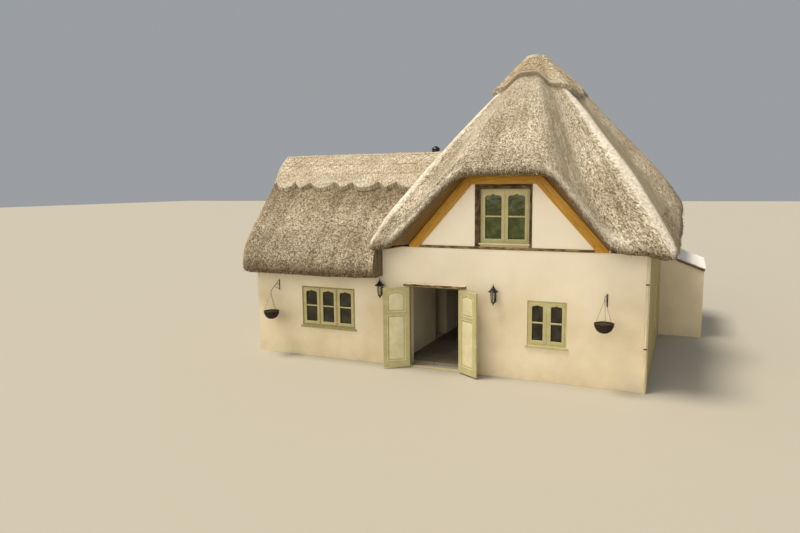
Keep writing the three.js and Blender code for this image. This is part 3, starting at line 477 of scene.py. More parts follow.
streaks = add_node(tree, "ShaderNodeTexNoise", {"Scale": 1, "Detail": 4}, {"Vector": rain})
streak_colour = add_node(tree, "ShaderNodeValToRGB", {"stops": [(0.35, "#9A8F7E"), (0.62, "#FFFFFF")]},
                         {"Fac": streaks})
streaked = add_node(tree, "ShaderNodeMixRGB", {"blend_type": "MULTIPLY", "Fac": 0.35},
                    {"Color1": straw, "Color2": streak_colour})
patches = add_node(tree, "ShaderNodeTexNoise", {"Scale": 1.1, "Detail": 4, "Roughness": 0.6},
                   {"Vector": place})
patch_colour = add_node(tree, "ShaderNodeValToRGB", {"stops": [(0.36, "#B9AC97"), (0.6, "#FFFFFF")]},
                        {"Fac": patches})
patched = add_node(tree, "ShaderNodeMixRGB", {"blend_type": "MULTIPLY", "Fac": 0.5},
                   {"Color1": streaked, "Color2": patch_colour})
facing = add_node(tree, "ShaderNodeSeparateXYZ", {}, {
    "Vector": add_node(tree, "ShaderNodeNewGeometry").outputs["Normal"]})
stems = add_node(tree, "ShaderNodeMapping", {"Scale": (26, 0.8, 1)}, {"Vector": coords.outputs["UV"]})
stem_tone = add_node(tree, "ShaderNodeTexNoise", {"Scale": 1, "Detail": 5, "Roughness": 0.65},
                     {"Vector": stems})
stem_colour = add_node(tree, "ShaderNodeValToRGB", {"stops": [
    (0.34, "#5F533E"), (0.5, "#94876D"), (0.68, "#C9BCA2")]}, {"Fac": stem_tone})
# Partly painted shade: the east-facing slope takes the greyer, darker stem colour.
east = add_node(tree, "ShaderNodeMapRange", {"From Min": 0.62, "From Max": 0.78, "To Max": 0.85},
                {"Value": facing.outputs["X"]})
east_stems_and_shade = add_node(tree, "ShaderNodeMixRGB", {}, {"Fac": east, "Color1": patched, "Color2": stem_colour})
# Painted shade: where the coat faces down it is multiplied darker.
down_facing_shade = add_node(tree, "ShaderNodeMapRange", {"From Min": 0.4, "From Max": -0.4, "To Max": 0.9},
                 {"Value": facing.outputs["Z"]})
underside_shaded = add_node(tree, "ShaderNodeMixRGB", {"blend_type": "MULTIPLY", "Color2": linear("#94805F")},
                     {"Fac": down_facing_shade, "Color1": east_stems_and_shade})
# Painted highlight: the hips and the hood's rolled edge are mixed towards near white.
painted_highlight_share = add_node(tree, "ShaderNodeSeparateXYZ", {}, {
    "Vector": add_node(tree, "ShaderNodeUVMap", {"uv_map": "Bleach"})}).outputs["X"]
highlighted = add_node(tree, "ShaderNodeMixRGB", {"Color2": linear("#FFF9EF")},
                    {"Fac": painted_highlight_share, "Color1": underside_shaded})
tufts = add_node(tree, "ShaderNodeBump", {"Strength": 0.6, "Distance": 0.014}, {"Height": grain})
set_up(shader, {"Roughness": 0.9, "Diffuse Roughness": 0.6}, {"Base Color": highlighted, "Normal": tufts})

GABLE_X = -0.055
BOARD_OUT = 0.005
GABLE_FOOT_HALF = 2.27
GABLE_LEAN = 0.9
PLATE_TOP = 3.007
BOARD_TOP = 4.615


def gable_outline(out, foot):
    """The flat-topped gable's outline, moved out by a distance square to its sloping edges."""
    half = {z: GABLE_FOOT_HALF + out * math.hypot(1, GABLE_LEAN) - GABLE_LEAN * (z - PLATE_TOP)
            for z in (PLATE_TOP, BOARD_TOP + out)}
    side = [(half[PLATE_TOP], foot), (half[PLATE_TOP], PLATE_TOP), (half[BOARD_TOP + out], BOARD_TOP + out)]
    return [(GABLE_X - x, z) for x, z in side] + [(GABLE_X + x, z) for x, z in side[::-1]]


def hood_outline(out, foot):
    """The line of the hood's lip moved out by a distance, with the same corners as gable_outline."""
    slant = (HOOD_FOOT_HALF - HOOD_TOP_HALF) / (HOOD_LOW - HOOD_FOOT_LOW)
    corners = [(z, HOOD_TOP_HALF + slant * (HOOD_LOW - z) + out * math.hypot(1, slant), hood_lean(z))
               for z in (PLATE_TOP, HOOD_LOW + out)]
    corners = [(foot, *corners[0][1:]), *corners]
    left = [(lean - half, z) for z, half, lean in corners]
    return left + [(lean + half, z) for z, half, lean in corners[::-1]]


SLOPE_ROWS = 100
AROUND = 700
TUFTS = [(0.42, 0.01), (0.13, 0.006), (0.05, 0.004)]  # how wide each wave is, and how deep
HAND_SOFT = {"soften": 0.22, "crisp": 0.06}  # how far the edge's bends are rounded, less at the hips
stations, walk = resample(main_stations(), AROUND, **HAND_SOFT)
rings = [rim_row(stations, inset, rise) for inset, rise in RIM]
rings += [main_slope(stations, t) for t in np.linspace(0.01, 1, SLOPE_ROWS)]
rings = hand_dressed(np.array(rings), [(1.3, 0.03), *TUFTS])
points, faces, uv = roll_out(rings, walk)
main_thatch = new_piece("main_thatch_coat", points, faces, reed, uv)
main_skin, main_walk = rings, walk

# How much painted highlight each point gets: along the hips, and on the roll of the hood's sloping edges
HIP_HIGHLIGHT, VERGE_HIGHLIGHT = 0.5, 0.35
HOOD_SOFT = 0.06
low_at, out_x, out_y = stations[:, 2:5].T
hips = HIP_HIGHLIGHT * np.clip(2.5 * np.abs(out_x * out_y), 0, 1) ** 3
verges = (np.abs(out_y) > 0.99) & (low_at > HOOD_FOOT_LOW) & (low_at < HOOD_LOW - HOOD_SOFT)
rows = np.arange(len(rings))[:, None]
rolled_edge = VERGE_HIGHLIGHT * np.exp(-0.5 * ((rows - len(RIM) - 2) / 2.5) ** 2)
slope_rows = np.clip((rows - len(RIM) + 4) / 5, 0, 1)
highlight_amount = np.maximum(slope_rows * hips, rolled_edge * verges)
by_point = np.r_[highlight_amount.ravel(), 0, 0]
corners = np.zeros(len(main_thatch.data.loops), int)
main_thatch.data.loops.foreach_get("vertex_index", corners)
highlight_map = main_thatch.data.uv_layers.new(name="Bleach", do_init=False)
highlight_map.data.foreach_set("uv", np.repeat(by_point[corners], 2).astype(np.float32))

# What the coat is hollowed out over: the attic, the hoods' soffits, the walls and the eyebrow's window
seat = MAIN_HALF - ROOF_SEAT
attic_top = WALL_TOP + seat * (RIDGE_TOP - EAVE_LOW - RIM_RISE) / (MAIN_HALF + EAVE_OUT - RIDGE_ROUND)
attic_low = WALL_TOP - 0.05
HIP_FOOT = 4.93
near, far = from_front(GABLE_WALL), from_front(MAIN_DEPTH - GABLE_WALL)
hip_run = attic_top - HIP_FOOT
attic = carve(
    prism([(-seat, attic_low), (-seat, WALL_TOP), (RIDGE_X, attic_top), (seat, WALL_TOP), (seat, attic_low)],
          "y", near - 0.001, far + 0.001),
    [prism([(near, attic_low), (near, HIP_FOOT), (near + hip_run, attic_top), (far - hip_run, attic_top),
            (far, HIP_FOOT), (far, attic_low)], "x", -MAIN_HALF, MAIN_HALF)], "INTERSECT")
SOFFIT_THICK = 0.02
SOFFIT_DEPTH = 0.5
LIP_HANG = 0.03
at_wall = gable_outline(BOARD_OUT + SOFFIT_THICK + GAP, EAVE_LOW - 0.1)
at_lip = hood_outline(LIP_HANG + GAP, EAVE_LOW - 0.1)
opening = [(at_lip, from_front(-SOFFIT_DEPTH)), (at_wall, from_front(0)),
           (at_wall, from_front(GABLE_WALL + 0.001))]
front_opening = lofted(opening)
rear_opening = lofted([([(-x, z) for x, z in outline], -y) for outline, y in opening])
reach = MAIN_HALF + GAP
walls = prism([(-reach, EAVE_LOW - 0.2), (reach, EAVE_LOW - 0.2), (reach, WALL_TOP), (-reach, WALL_TOP)],
              "y", from_front(-GAP), from_front(MAIN_DEPTH + GAP))
arch = [(from_front(d), WALL_TOP + 2 * GAP + EYEBROW["wall_rise"] * eyebrow_swell(d))
        for d in np.linspace(EYEBROW["middle"] - EYEBROW["half"], EYEBROW["middle"] + EYEBROW["half"], 33)]
dormer = prism([(arch[0][0], EAVE_LOW - 0.2), *arch, (arch[-1][0], EAVE_LOW - 0.2)], "x",
               MAIN_HALF - WALL - 0.43, reach)

FLUE = {"x": -2.95, "y": from_front(3.4), "radius": 0.075, "hole_low": 2.1, "hole_top": 5.3}


def level_ring(x, y, z, radius, count):
    """Evenly spaced points round a level circle."""
    angles = np.linspace(0, 2 * math.pi, count, endpoint=False)
    return [(x + radius * math.cos(a), y + radius * math.sin(a), z) for a in angles]


def flue_hole():
    """The hole that the flue comes up through."""
    sides = 24
    radius = FLUE["radius"] + 0.0005
    points = []
    for z in (FLUE["hole_low"], FLUE["hole_top"]):
        points += level_ring(FLUE["x"], FLUE["y"], z, radius, sides)
    return new_piece("tool", points, drum_faces(2, sides), reed)


carve(main_thatch, [attic, front_opening, rear_opening, walls, dormer, flue_hole()])
main_thatch.data.uv_layers["UVMap"].active_render = True
main_thatch.data.uv_layers["UVMap"].active = True
main_thatch.data.set_sharp_from_angle(angle=math.radians(60))
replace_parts(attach(main_thatch, "house"), "main_thatch")


# Wing thatch
# The same water reed on the lower roof: near upright where it rolls over the eaves, then one even
# slope. Its end rounds over at the verge, and it swells up to run in under the main roof.
end_low, end_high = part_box("wing_end_wall")
WING_END = end_low.x
WING_DEPTH = end_high.y - end_low.y
WING_WALL_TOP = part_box("wing_front_wall")[1].z
WING_EAVE_OUT = 0.55
WING_EAVE_LOW = 2.185
WING_VERGE = 0.37
WING_RIDGE = 5.21
WING_ROLL = {"rise": 0.765, "run": 0.27, "round": 0.42, "verge": 0.4}
VERGE_TUCK = {"in": 0.14, "high": 3.4, "fade": 0.9}
WING_REACH = -1.6
wing_rise = WING_RIDGE - WING_EAVE_LOW - WING_ROLL["rise"]
WING_PITCH = wing_rise / (WING_DEPTH / 2 + WING_EAVE_OUT - WING_ROLL["run"])
RAFTER_PITCH = 1.1 * WING_PITCH


def wing_section(x, inset, swell):
    """The coat's outline across the wing at x, drawn in by the inset and pushed out by the swell."""
    half = WING_DEPTH / 2 + WING_EAVE_OUT - inset
    low = WING_EAVE_LOW
    ridge = WING_RIDGE - inset * 0.3
    knee = (half - WING_ROLL["run"] + swell * 0.2, low + WING_ROLL["rise"])
    right = [
        (half - 0.26, low + 0.02), (half - 0.11, low), (half - 0.025, low + 0.07),
        (half + swell * 0.03, low + 0.18), (half - 0.02 + swell * 0.08, low + 0.34),
        (half - 0.105 + swell * 0.14, low + 0.54), knee,
        *[(mix(knee[0], 0, t), mix(knee[1], ridge, t)) for t in (0.3, 0.65, 0.97)],
    ]
    left = [(-y, z) for y, z in right[::-1]]
    return np.array([(x, from_front(WING_DEPTH / 2) + y, z) for y, z in right + left])


def wing_rafters(raised):
    """The underside of the rafters, as an outline across the wing."""
    top = WING_WALL_TOP + (WING_DEPTH / 2 - ROOF_SEAT) * RAFTER_PITCH
    return [(from_front(ROOF_SEAT), WING_WALL_TOP + raised), (from_front(WING_DEPTH / 2), top + raised),
            (from_front(WING_DEPTH - ROOF_SEAT), WING_WALL_TOP + raised)]


def main_body(draw_in):
    """The main roof's whole outer form, drawn in a little, as a tool."""
    few, few_walk = resample(main_stations(), 220, **HAND_SOFT)
    rows = [rim_row(few, inset + draw_in, rise) for inset, rise in RIM]
    rows += [main_slope(few, t, -draw_in) for t in np.linspace(0.02, 1, 24)]
    body_points, body_faces, _ = roll_out(np.array(rows), few_walk)
    return new_piece("tool", body_points, body_faces, reed)


def block(x0, x1, y0, y1, z0, z1):
    """A squared block, as a closed piece."""
    return prism([(x0, z0), (x1, z0), (x1, z1), (x0, z1)], "y", y0, y1)


# The wing stands in the shade of the tall roof and the trees: the same reed, painted darker all over
# and darkest high up under the ridge cap, as painted shade.
cap_shaded_reed, tree, shader, bare = aged(reed, "shade_painted_water_reed")
place = add_node(tree, "ShaderNodeTexCoord").outputs["Object"]
height = add_node(tree, "ShaderNodeSeparateXYZ", {}, {"Vector": place}).outputs["Z"]
# Painted shade: the wing's reed is multiplied darker, most of all high up towards the ridge cap.
cap_shade = add_node(tree, "ShaderNodeMapRange", {"From Min": 3.5, "From Max": 4.15, "To Min": 0.4},
                {"Value": height})
cap_shaded = add_node(tree, "ShaderNodeMixRGB", {"blend_type": "MULTIPLY", "Color2": linear("#C3BBAB")},
                  {"Fac": cap_shade, "Color1": bare})
set_up(shader, {}, {"Base Color": cap_shaded})

# Places along the wing, each with its inset and its swell: the end, the rounded verge, the even slope
ACROSS = 210
STEP = 0.04
SECTION_SOFT = 0.05
verge = WING_END - WING_VERGE
round_in, verge_in = WING_ROLL["round"], WING_ROLL["verge"]
places = [(verge, inset, 0) for inset in np.linspace(0.9, verge_in + STEP, 10)]
for angle in np.linspace(0, math.pi / 2, 14):
    places.append((verge + round_in * (1 - math.cos(angle)), verge_in * (1 - math.sin(angle)), 0))
for x in np.arange(verge + round_in + STEP, WING_REACH, STEP):
    places.append((x, 0, np.interp(x, [-MAIN_HALF - 0.5, -MAIN_HALF], [0, 0.4])))
rings = np.array([resample(wing_section(*at), ACROSS, SECTION_SOFT)[0] for at in places])
low_share = np.clip((VERGE_TUCK["high"] - rings[:, :, 2]) / VERGE_TUCK["fade"], 0, 1)
near_verge = np.clip(1 - (rings[:, :, 0] - verge) / VERGE_TUCK["fade"], 0, 1)
rings[:, :, 0] += VERGE_TUCK["in"] * low_share * near_verge
rings = hand_dressed(rings, [(1.3, 0.026), *TUFTS])
points, faces, uv = roll_out(rings, resample(wing_section(verge, 0, 0), ACROSS, SECTION_SOFT)[1])
wing_thatch = new_piece("wing_thatch_coat", points, faces, cap_shaded_reed, uv[:, ::-1])
wing_skin = rings
low = WING_EAVE_LOW - 0.1
rafters = wing_rafters(2 * GAP)
deep = from_front(MAIN_DEPTH)
shallow = from_front(-2 * WING_EAVE_OUT)
inner_end = WING_REACH + 0.1
carve(wing_thatch, [
    prism([(rafters[0][0], low), *rafters, (rafters[2][0], low)], "x", WING_END - 2 * WING_VERGE, inner_end),
    block(WING_END - GAP, inner_end, from_front(-GAP), from_front(WING_DEPTH + GAP), low, WING_WALL_TOP),
    block(-MAIN_HALF - GAP, inner_end, shallow, deep, low, WALL_TOP + 0.06),
    block(-MAIN_HALF + ROOF_SEAT, inner_end, shallow, deep, low, WALL_TOP + 0.9),
    flue_hole(),
    main_body(0.07),
])
wing_thatch.data.set_sharp_from_angle(angle=math.radians(60))
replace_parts(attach(wing_thatch, "house"), "wing_thatch")


# Ridge caps
# Long straw bent over each ridge as a second coat about 90 mm thick, its lower edge block-cut with a
# knife into wide round scallops with points between them.

# Long straw, paler and pinker than the reed and lying down the slope, so its grain is combed.
long_straw, tree, shader = new_finish("block_cut_long_straw")
coords = add_node(tree, "ShaderNodeTexCoord")
combed = add_node(tree, "ShaderNodeMapping", {"Scale": (1, 0.45, 1)}, {"Vector": coords.outputs["UV"]})
stems = add_node(tree, "ShaderNodeTexNoise", {"Scale": 25, "Detail": 3, "Roughness": 0.8}, {"Vector": combed})
stem_colour = add_node(tree, "ShaderNodeValToRGB", {"stops": [
    (0.35, "#64553F"), (0.45, "#A39782"), (0.57, "#CDC4B3"), (0.72, "#F0EBE2")]}, {"Fac": stems})
weather = add_node(tree, "ShaderNodeTexNoise", {"Scale": 1.8, "Detail": 4},
                   {"Vector": coords.outputs["Object"]})
weather_colour = add_node(tree, "ShaderNodeValToRGB", {"stops": [(0.35, "#BFB09A"), (0.6, "#FFFFFF")]},
                          {"Fac": weather})
straw_colour = add_node(tree, "ShaderNodeMixRGB", {"blend_type": "MULTIPLY", "Fac": 0.5},
                        {"Color1": stem_colour, "Color2": weather_colour})
stem_bump = add_node(tree, "ShaderNodeBump", {"Strength": 0.7, "Distance": 0.015}, {"Height": stems})
set_up(shader, {"Roughness": 0.85}, {"Base Color": straw_colour, "Normal": stem_bump})

CAP_THICK = 0.09
CAP_HALF = 0.885
CAP_START = 0.82
SCALLOP = {"pitch": 1.29, "point": 0.54, "drop": 0.15, "start": -5.75}
CUT_LIP = {"lift": 0.045, "wide": 0.25, "round": 0.02}
STRAW_DRESSING = [(0.5, 0.012), (0.12, 0.008), (0.045, 0.005)]


def scallop(along):
    """How far the cut edge hangs down at a place along the ridge, from 0 at its peaks to 1."""
    wide = SCALLOP["pitch"] - SCALLOP["point"]
    place = (along - SCALLOP["start"]) % SCALLOP["pitch"]
    if place < wide:
        return math.sin(math.pi * place / wide) ** 0.7
    return 1 - abs(place - wide - SCALLOP["point"] / 2) / (SCALLOP["point"] / 2)


cap_lift = CAP_THICK * math.hypot(1, WING_PITCH)
cap_start, cap_end = verge + 0.03, WING_REACH
RIDGE_SOFT = 0.06
END_SLANT = 0.17
middle = from_front(WING_DEPTH / 2)


def wing_cap_point(x, y, above=0.0):
    """A point of the wing cap's face: y is measured from the ridge, above is square to the slope."""
    x += END_SLANT * (y / CAP_HALF) ** 2 * max(0, 1 - (x - cap_start))
    end_round = min(1, max(0, (x - cap_start) / 0.1))
    lift = cap_lift * math.sqrt(1 - (1 - end_round) ** 2)
    z = WING_RIDGE + lift - WING_PITCH * math.hypot(y, RIDGE_SOFT) + above * math.hypot(1, WING_PITCH)
    return (x, middle + y, z)


def cut_edge(inside):
    """How far the face stands up or falls away at a distance inside the cut edge."""
    lift = CUT_LIP["lift"] * max(0, 1 - inside / CUT_LIP["wide"])
    return lift - CUT_LIP["round"] * max(0, 1 - inside / CUT_LIP["round"]) ** 2


UNDERCUT = 0.095
CLEAR_OF_END = 20
rings = []
for x in np.arange(cap_start, cap_end, 0.022):
    half = CAP_HALF + SCALLOP["drop"] * scallop(x)
    across = half * np.linspace(-1, 1, 74)
    outer = [wing_cap_point(x, y, cut_edge(half - abs(y))) for y in across]
    inner = [wing_cap_point(x, y * (1 - UNDERCUT), -CAP_THICK - 0.07) for y in across[::-1]]
    rings.append(outer + inner)
rings = hand_dressed(np.array(rings), STRAW_DRESSING)
walk = np.r_[0, np.cumsum(np.linalg.norm(np.diff(rings[CLEAR_OF_END], axis=0), axis=1))]
points, faces, uv = roll_out(rings, walk)
wing_cap = new_piece("wing_ridge_straw", points, faces, long_straw, uv[:, ::-1])
carve(wing_cap, [main_body(0.05)])
wing_cap.data.set_sharp_from_angle(angle=math.radians(50))
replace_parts(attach(wing_cap, "house"), "wing_ridge_cap")

stations, walk = resample(main_stations(), 420, **HAND_SOFT)
drop = SCALLOP["drop"] / (RIDGE_TOP - EAVE_LOW)
starts = np.array([CAP_START - scallop(y) * drop for y in stations[:, 1]])


def main_cap_row(at, t, out):
    """main_slope with a place of its own for each station."""
    return np.array([main_slope(row[None], share, out)[0] for row, share in zip(at, t)])


cap_out = CAP_THICK * 0.8
rings = [main_cap_row(stations, starts, out) for out in (-0.08, 0, cap_out * 0.6, cap_out * 0.9)]
rings += [main_cap_row(stations, mix(starts, 1, part), cap_out) for part in np.linspace(0.02, 1, 40)]
brow = rings[-1]
ridge_y = np.clip(brow[:, 1], from_front(RIDGE_END), -from_front(RIDGE_END))
spine = np.stack([np.full(len(brow), RIDGE_X), ridge_y, brow[:, 2]], axis=1)
for part in (0.3, 0.6, 0.9):
    rings.append(mix(brow, spine, part) + np.array([0, 0, 0.02 * (1 - (1 - part) ** 2)]))
rings = hand_dressed(np.array(rings), STRAW_DRESSING)
points, faces, uv = roll_out(rings, walk)
main_cap = new_piece("main_ridge_straw", points, faces, long_straw, uv)
main_cap.data.set_sharp_from_angle(angle=math.radians(50))
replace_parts(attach(main_cap, "house"), "main_ridge_cap")


# Hazel rods
# Split hazel rods, or liggers, peg the ridge straw down: level rods, a lattice between them, and one
# that follows the scallops. Twisted spars hold each crossing.
def tube(points, radius, sides=5):
    """Points and faces of a round bar along a row of points, closed at its ends."""
    points = [Vector(point) for point in points]
    ring_points = []
    for i, point in enumerate(points):
        way = (points[min(i + 1, len(points) - 1)] - points[max(i - 1, 0)]).normalized()
        side = way.cross(Vector((0, 0, 1)) if abs(way.z) < 0.9 else Vector((1, 0, 0))).normalized()
        up = side.cross(way)
        for k in range(sides):
            angle = 2 * math.pi * k / sides
            ring_points.append(point + radius * (math.cos(angle) * side + math.sin(angle) * up))
    return ring_points, drum_faces(len(points), sides)


def joined(name, shapes, finish, smooth=True):
    """One piece from several shapes."""
    points, faces = [], []
    for shape_points, shape_faces in shapes:
        start = len(points)
        points += shape_points
        faces += [tuple(start + i for i in face) for face in shape_faces]
    piece = new_piece(name, points, faces, finish, smooth=smooth)
    piece.data.set_sharp_from_angle(angle=math.radians(40))
    return piece


# Hazel split down the middle and weathered, nearly as pale as the straw, with brown bark left in places.
hazel, tree, shader = new_finish("split_hazel")
place = add_node(tree, "ShaderNodeTexCoord").outputs["Object"]
bark = add_node(tree, "ShaderNodeTexNoise", {"Scale": 16, "Detail": 4}, {"Vector": place})
bark_colour = add_node(tree, "ShaderNodeValToRGB", {"stops": [
    (0.35, "#9C8763"), (0.5, "#C4B089"), (0.75, "#DDCCA8")]}, {"Fac": bark})
set_up(shader, {"Roughness": 0.8}, {"Base Color": bark_colour})

ROD = 0.009
LATTICE_ROD = 0.6 * ROD
SPAR = 0.006
ROD_STEP = 0.06
EDGE_ROD_IN = 0.08
LEVELS = [0.13, 0.5, 0.87]
LATTICE = 0.32
slope_share = 1 / math.hypot(1, WING_PITCH)
rods = []
for side in (-1, 1):
    along = np.arange(cap_start + 0.05, cap_end, ROD_STEP)
    for level in LEVELS:
        rods.append(tube([wing_cap_point(x, side * level * slope_share, ROD * 0.3) for x in along], ROD))
    scalloped = [(x, CAP_HALF + SCALLOP["drop"] * scallop(x) - EDGE_ROD_IN) for x in along]
    rods.append(tube([wing_cap_point(x, side * y, cut_edge(EDGE_ROD_IN)) for x, y in scalloped], ROD))
    for upper, lower in zip(LEVELS, LEVELS[1:]):
        for x in np.arange(cap_start + 0.1, cap_end - LATTICE, LATTICE):
            for start, stop in ((x, x + LATTICE), (x + LATTICE, x)):
                steps = np.linspace(0, 1, 6)
                lie = [(mix(start, stop, t), side * mix(upper, lower, t) * slope_share) for t in steps]
                rods.append(tube([wing_cap_point(*at, ROD * 0.25) for at in lie], LATTICE_ROD))
                foot = (stop, side * lower * slope_share)
                rods.append(tube([wing_cap_point(foot[0], foot[1] - 0.03, 0), wing_cap_point(*foot, 2 * ROD),
                                  wing_cap_point(foot[0], foot[1] + 0.03, 0)], SPAR, 4))
wing_rods = joined("wing_ridge_rods", rods, hazel)
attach(wing_rods, "house")


def main_cap_point(station, part, above):
    """A point of the main cap's face: a place along the stations, and a part of the way to the ridge."""
    row = stations[int(station) % len(stations)][None]
    share = mix(starts[int(station) % len(stations)], 1, part)
    return tuple(main_slope(row, share, cap_out + above)[0])


rods = []
count = len(stations)
MAIN_LEVELS = [0.12, 0.47, 0.82]
for part in MAIN_LEVELS:
    loop = [main_cap_point(i, part, ROD * 0.4) for i in range(0, count, 2)]
    rods.append(tube(loop + loop[:1], ROD))
LATTICE_STATIONS = 7
for lower, upper in zip(MAIN_LEVELS, MAIN_LEVELS[1:]):
    for i in range(0, count, LATTICE_STATIONS):
        for start, stop in ((i, i + LATTICE_STATIONS), (i + LATTICE_STATIONS, i)):
            rods.append(tube([main_cap_point(round(mix(start, stop, t)), mix(lower, upper, t), ROD * 0.6)
                              for t in np.linspace(0, 1, LATTICE_STATIONS + 1)], LATTICE_ROD))
main_rods = joined("main_ridge_rods", rods, hazel)
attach(main_rods, "house")


# Reed ends
# Single reeds that stand a little proud of the dressed coat, thickest along the eaves and verges,
# where the cut ends show. Each is a stem of about 6 mm, drawn at 8 mm so that it shows.
REED = 0.004
PROUD = 0.03
ROOTED = 0.03
STANDS_OUT = 0.16
STRAY = 0.06


def reed_ends(name, skin, walk, row_range, lie_row, column_range, count):
    """Loose stems on some rows and columns of a skin, lying as its rows run from lie_row[1] to lie_row[0]."""
    rows = np.random.default_rng(5).integers(*row_range, count)
    columns = np.random.default_rng(6).integers(*column_range, count)
    spread = np.random.default_rng(7).normal(size=(count, 3))
    root = skin[rows, columns]
    lie = skin[lie_row[0], columns] - skin[lie_row[1], columns]
    lie /= np.maximum(np.linalg.norm(lie, axis=1, keepdims=True), 1e-9)
    across = skin[rows, (columns + 1) % skin.shape[1]] - skin[rows, columns - 1]
    out = np.cross(across, skin[rows + 1, columns] - skin[rows - 1, columns])
    out /= np.maximum(np.linalg.norm(out, axis=1, keepdims=True), 1e-9)
    way = lie + STANDS_OUT * out + STRAY * spread
    way /= np.linalg.norm(way, axis=1, keepdims=True)
    length = PROUD * (0.6 + 0.8 * np.abs(spread[:, :1]))
    tip = root + way * length
    back = root - way * ROOTED
    side = np.cross(way, out)
    side /= np.maximum(np.linalg.norm(side, axis=1, keepdims=True), 1e-9)
    lift = np.cross(side, way)
    corners = [(math.cos(a), math.sin(a)) for a in (0.5, 2.6, 4.7)]
    points = [end + REED * (c * side + s * lift) for end in (back, tip) for c, s in corners]
    points = np.stack(points, axis=1).reshape(-1, 3)
    start = 6 * np.arange(count)[:, None]
    quads = [(0, 1, 4, 3), (1, 2, 5, 4), (2, 0, 3, 5)]
    faces = np.concatenate([start + np.array(quad) for quad in quads]).tolist()
    ends = np.concatenate([start + np.array([3, 4, 5]), start + np.array([2, 1, 0])]).tolist()
    where = np.stack([walk[columns] + 3 * spread[:, 1], 0.05 * rows + 3 * spread[:, 2]], axis=1)
    uv = np.concatenate([np.tile(where, (3, 1)).repeat(4, axis=0), np.tile(where, (2, 1)).repeat(3, axis=0)])
    stems = new_piece(name, points.tolist(), [tuple(face) for face in faces + ends], reed, uv, smooth=False)
    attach(stems, "house")


reed_ends("main_reed_ends", main_skin, main_walk, (5, 24), (12, 22), (0, AROUND), 11000)
wing_skin = np.swapaxes(wing_skin, 0, 1)
wing_walk = wing_skin[0, :, 0]
clear_of_main = int(np.searchsorted(wing_walk, -MAIN_HALF - 0.25))
reed_ends("wing_front_reed_ends", wing_skin, wing_walk, (112, 133), (118, 104), (4, clear_of_main), 4500)
reed_ends("wing_rear_reed_ends", wing_skin, wing_walk, (1, 20), (12, 26), (4, clear_of_main), 4500)


# Gable boards and soffits
# Softwood boards with an orange-brown stain: a mitred bargeboard along each edge of the gable, and
# three narrow boards that line the underside of the hood, nailed side by side.
def softened(piece, width, segments=2):
    """Rounds a piece's hard edges a little, as planing and paint leave them."""
    bevel = piece.modifiers.new("edges", "BEVEL")
    bevel.width = width
    bevel.segments = segments
    bevel.limit_method = "ANGLE"
    bevel.angle_limit = math.radians(40)
    bpy.context.view_layer.update()
    mesh = bpy.data.meshes.new_from_object(piece.evaluated_get(bpy.context.evaluated_depsgraph_get()))
    piece.modifiers.clear()
    piece.data = mesh
    mesh.shade_smooth()
    mesh.set_sharp_from_angle(angle=math.radians(35))
    return piece


def with_grain(piece, along, offset):
    """Lays the texture so that its length runs along the board and its width across it."""
    along = Vector(along).normalized()
    mesh = piece.data
    places = mesh.uv_layers[0].data if mesh.uv_layers else mesh.uv_layers.new(name="UVMap").data
    for face in mesh.polygons:
        across = along.cross(face.normal)
        across = across.normalized() if across.length > 0.1 else Vector((0, 0, 1)).cross(along)
        for loop in face.loop_indices:
            point = mesh.vertices[mesh.loops[loop].vertex_index].co
            places[loop].uv = (point.dot(across) + offset, point.dot(along) + offset * 7)
    return piece


# Stained softwood, satin: knots every half metre or so, lengthwise grain of 4 to 10 mm that shows
# through the stain, and a paler, worn edge.
stained, tree, shader = new_finish("stained_softwood")
lay = add_node(tree, "ShaderNodeTexCoord").outputs["UV"]
knots = add_node(tree, "ShaderNodeTexVoronoi", {"Scale": 2.2, "Randomness": 1.0}, {
    "Vector": add_node(tree, "ShaderNodeMapping", {"Scale": (3.0, 1.0, 1)}, {"Vector": lay})})
knot = add_node(tree, "ShaderNodeMapRange", {"From Min": 0.09, "From Max": 0.02}, {"Value": knots})
bend = add_node(tree, "ShaderNodeTexNoise", {"Scale": 1.6, "Detail": 2}, {"Vector": lay})
bent = add_node(tree, "ShaderNodeMixRGB", {"blend_type": "ADD", "Fac": 0.06},
                {"Color1": lay, "Color2": bend.outputs["Color"]})
grain = add_node(tree, "ShaderNodeTexNoise", {"Scale": 1, "Detail": 5, "Roughness": 0.6}, {
    "Vector": add_node(tree, "ShaderNodeMapping", {"Scale": (95, 2.2, 1)}, {"Vector": bent})})
board_colour = add_node(tree, "ShaderNodeValToRGB", {"stops": [
    (0.3, "#8A5C0A"), (0.48, "#B98413"), (0.66, "#D9A83A")]}, {"Fac": grain})
knotted = add_node(tree, "ShaderNodeMixRGB", {"Color2": linear("#4E2C0C")},
                   {"Fac": knot, "Color1": board_colour})
grain_bump = add_node(tree, "ShaderNodeBump", {"Strength": 0.25, "Distance": 0.003}, {"Height": grain})
set_up(shader, {"Roughness": 0.55}, {"Base Color": knotted, "Normal": grain_bump})


def recoloured(finish, name, colours):
    """A copy of a finish under a new name, with other colours on its first row of stops."""
    copy = finish.copy()
    copy.name = name
    ramp = next(node for node in copy.node_tree.nodes if node.bl_idname == "ShaderNodeValToRGB")
    for stop, colour in zip(ramp.color_ramp.elements, colours):
        stop.color = linear(colour)
    return copy


# The soffit boards under the hood: the same stain, darker and redder, as painted shade.
shade_dark_board = recoloured(stained, "shade_darkened_softwood", ("#3C2A0E", "#684B1A", "#8E6E33"))

BOARD_IN = 0.205
BOARD_THICK = 0.05
BOARD_FOOT = 2.95
SOFFIT_BOARDS = 3
SOFFIT_JOINT = 0.03
outer = gable_outline(BOARD_OUT - GAP, BOARD_FOOT)
inner = gable_outline(-BOARD_IN, BOARD_FOOT)
MITRE = 0.0015


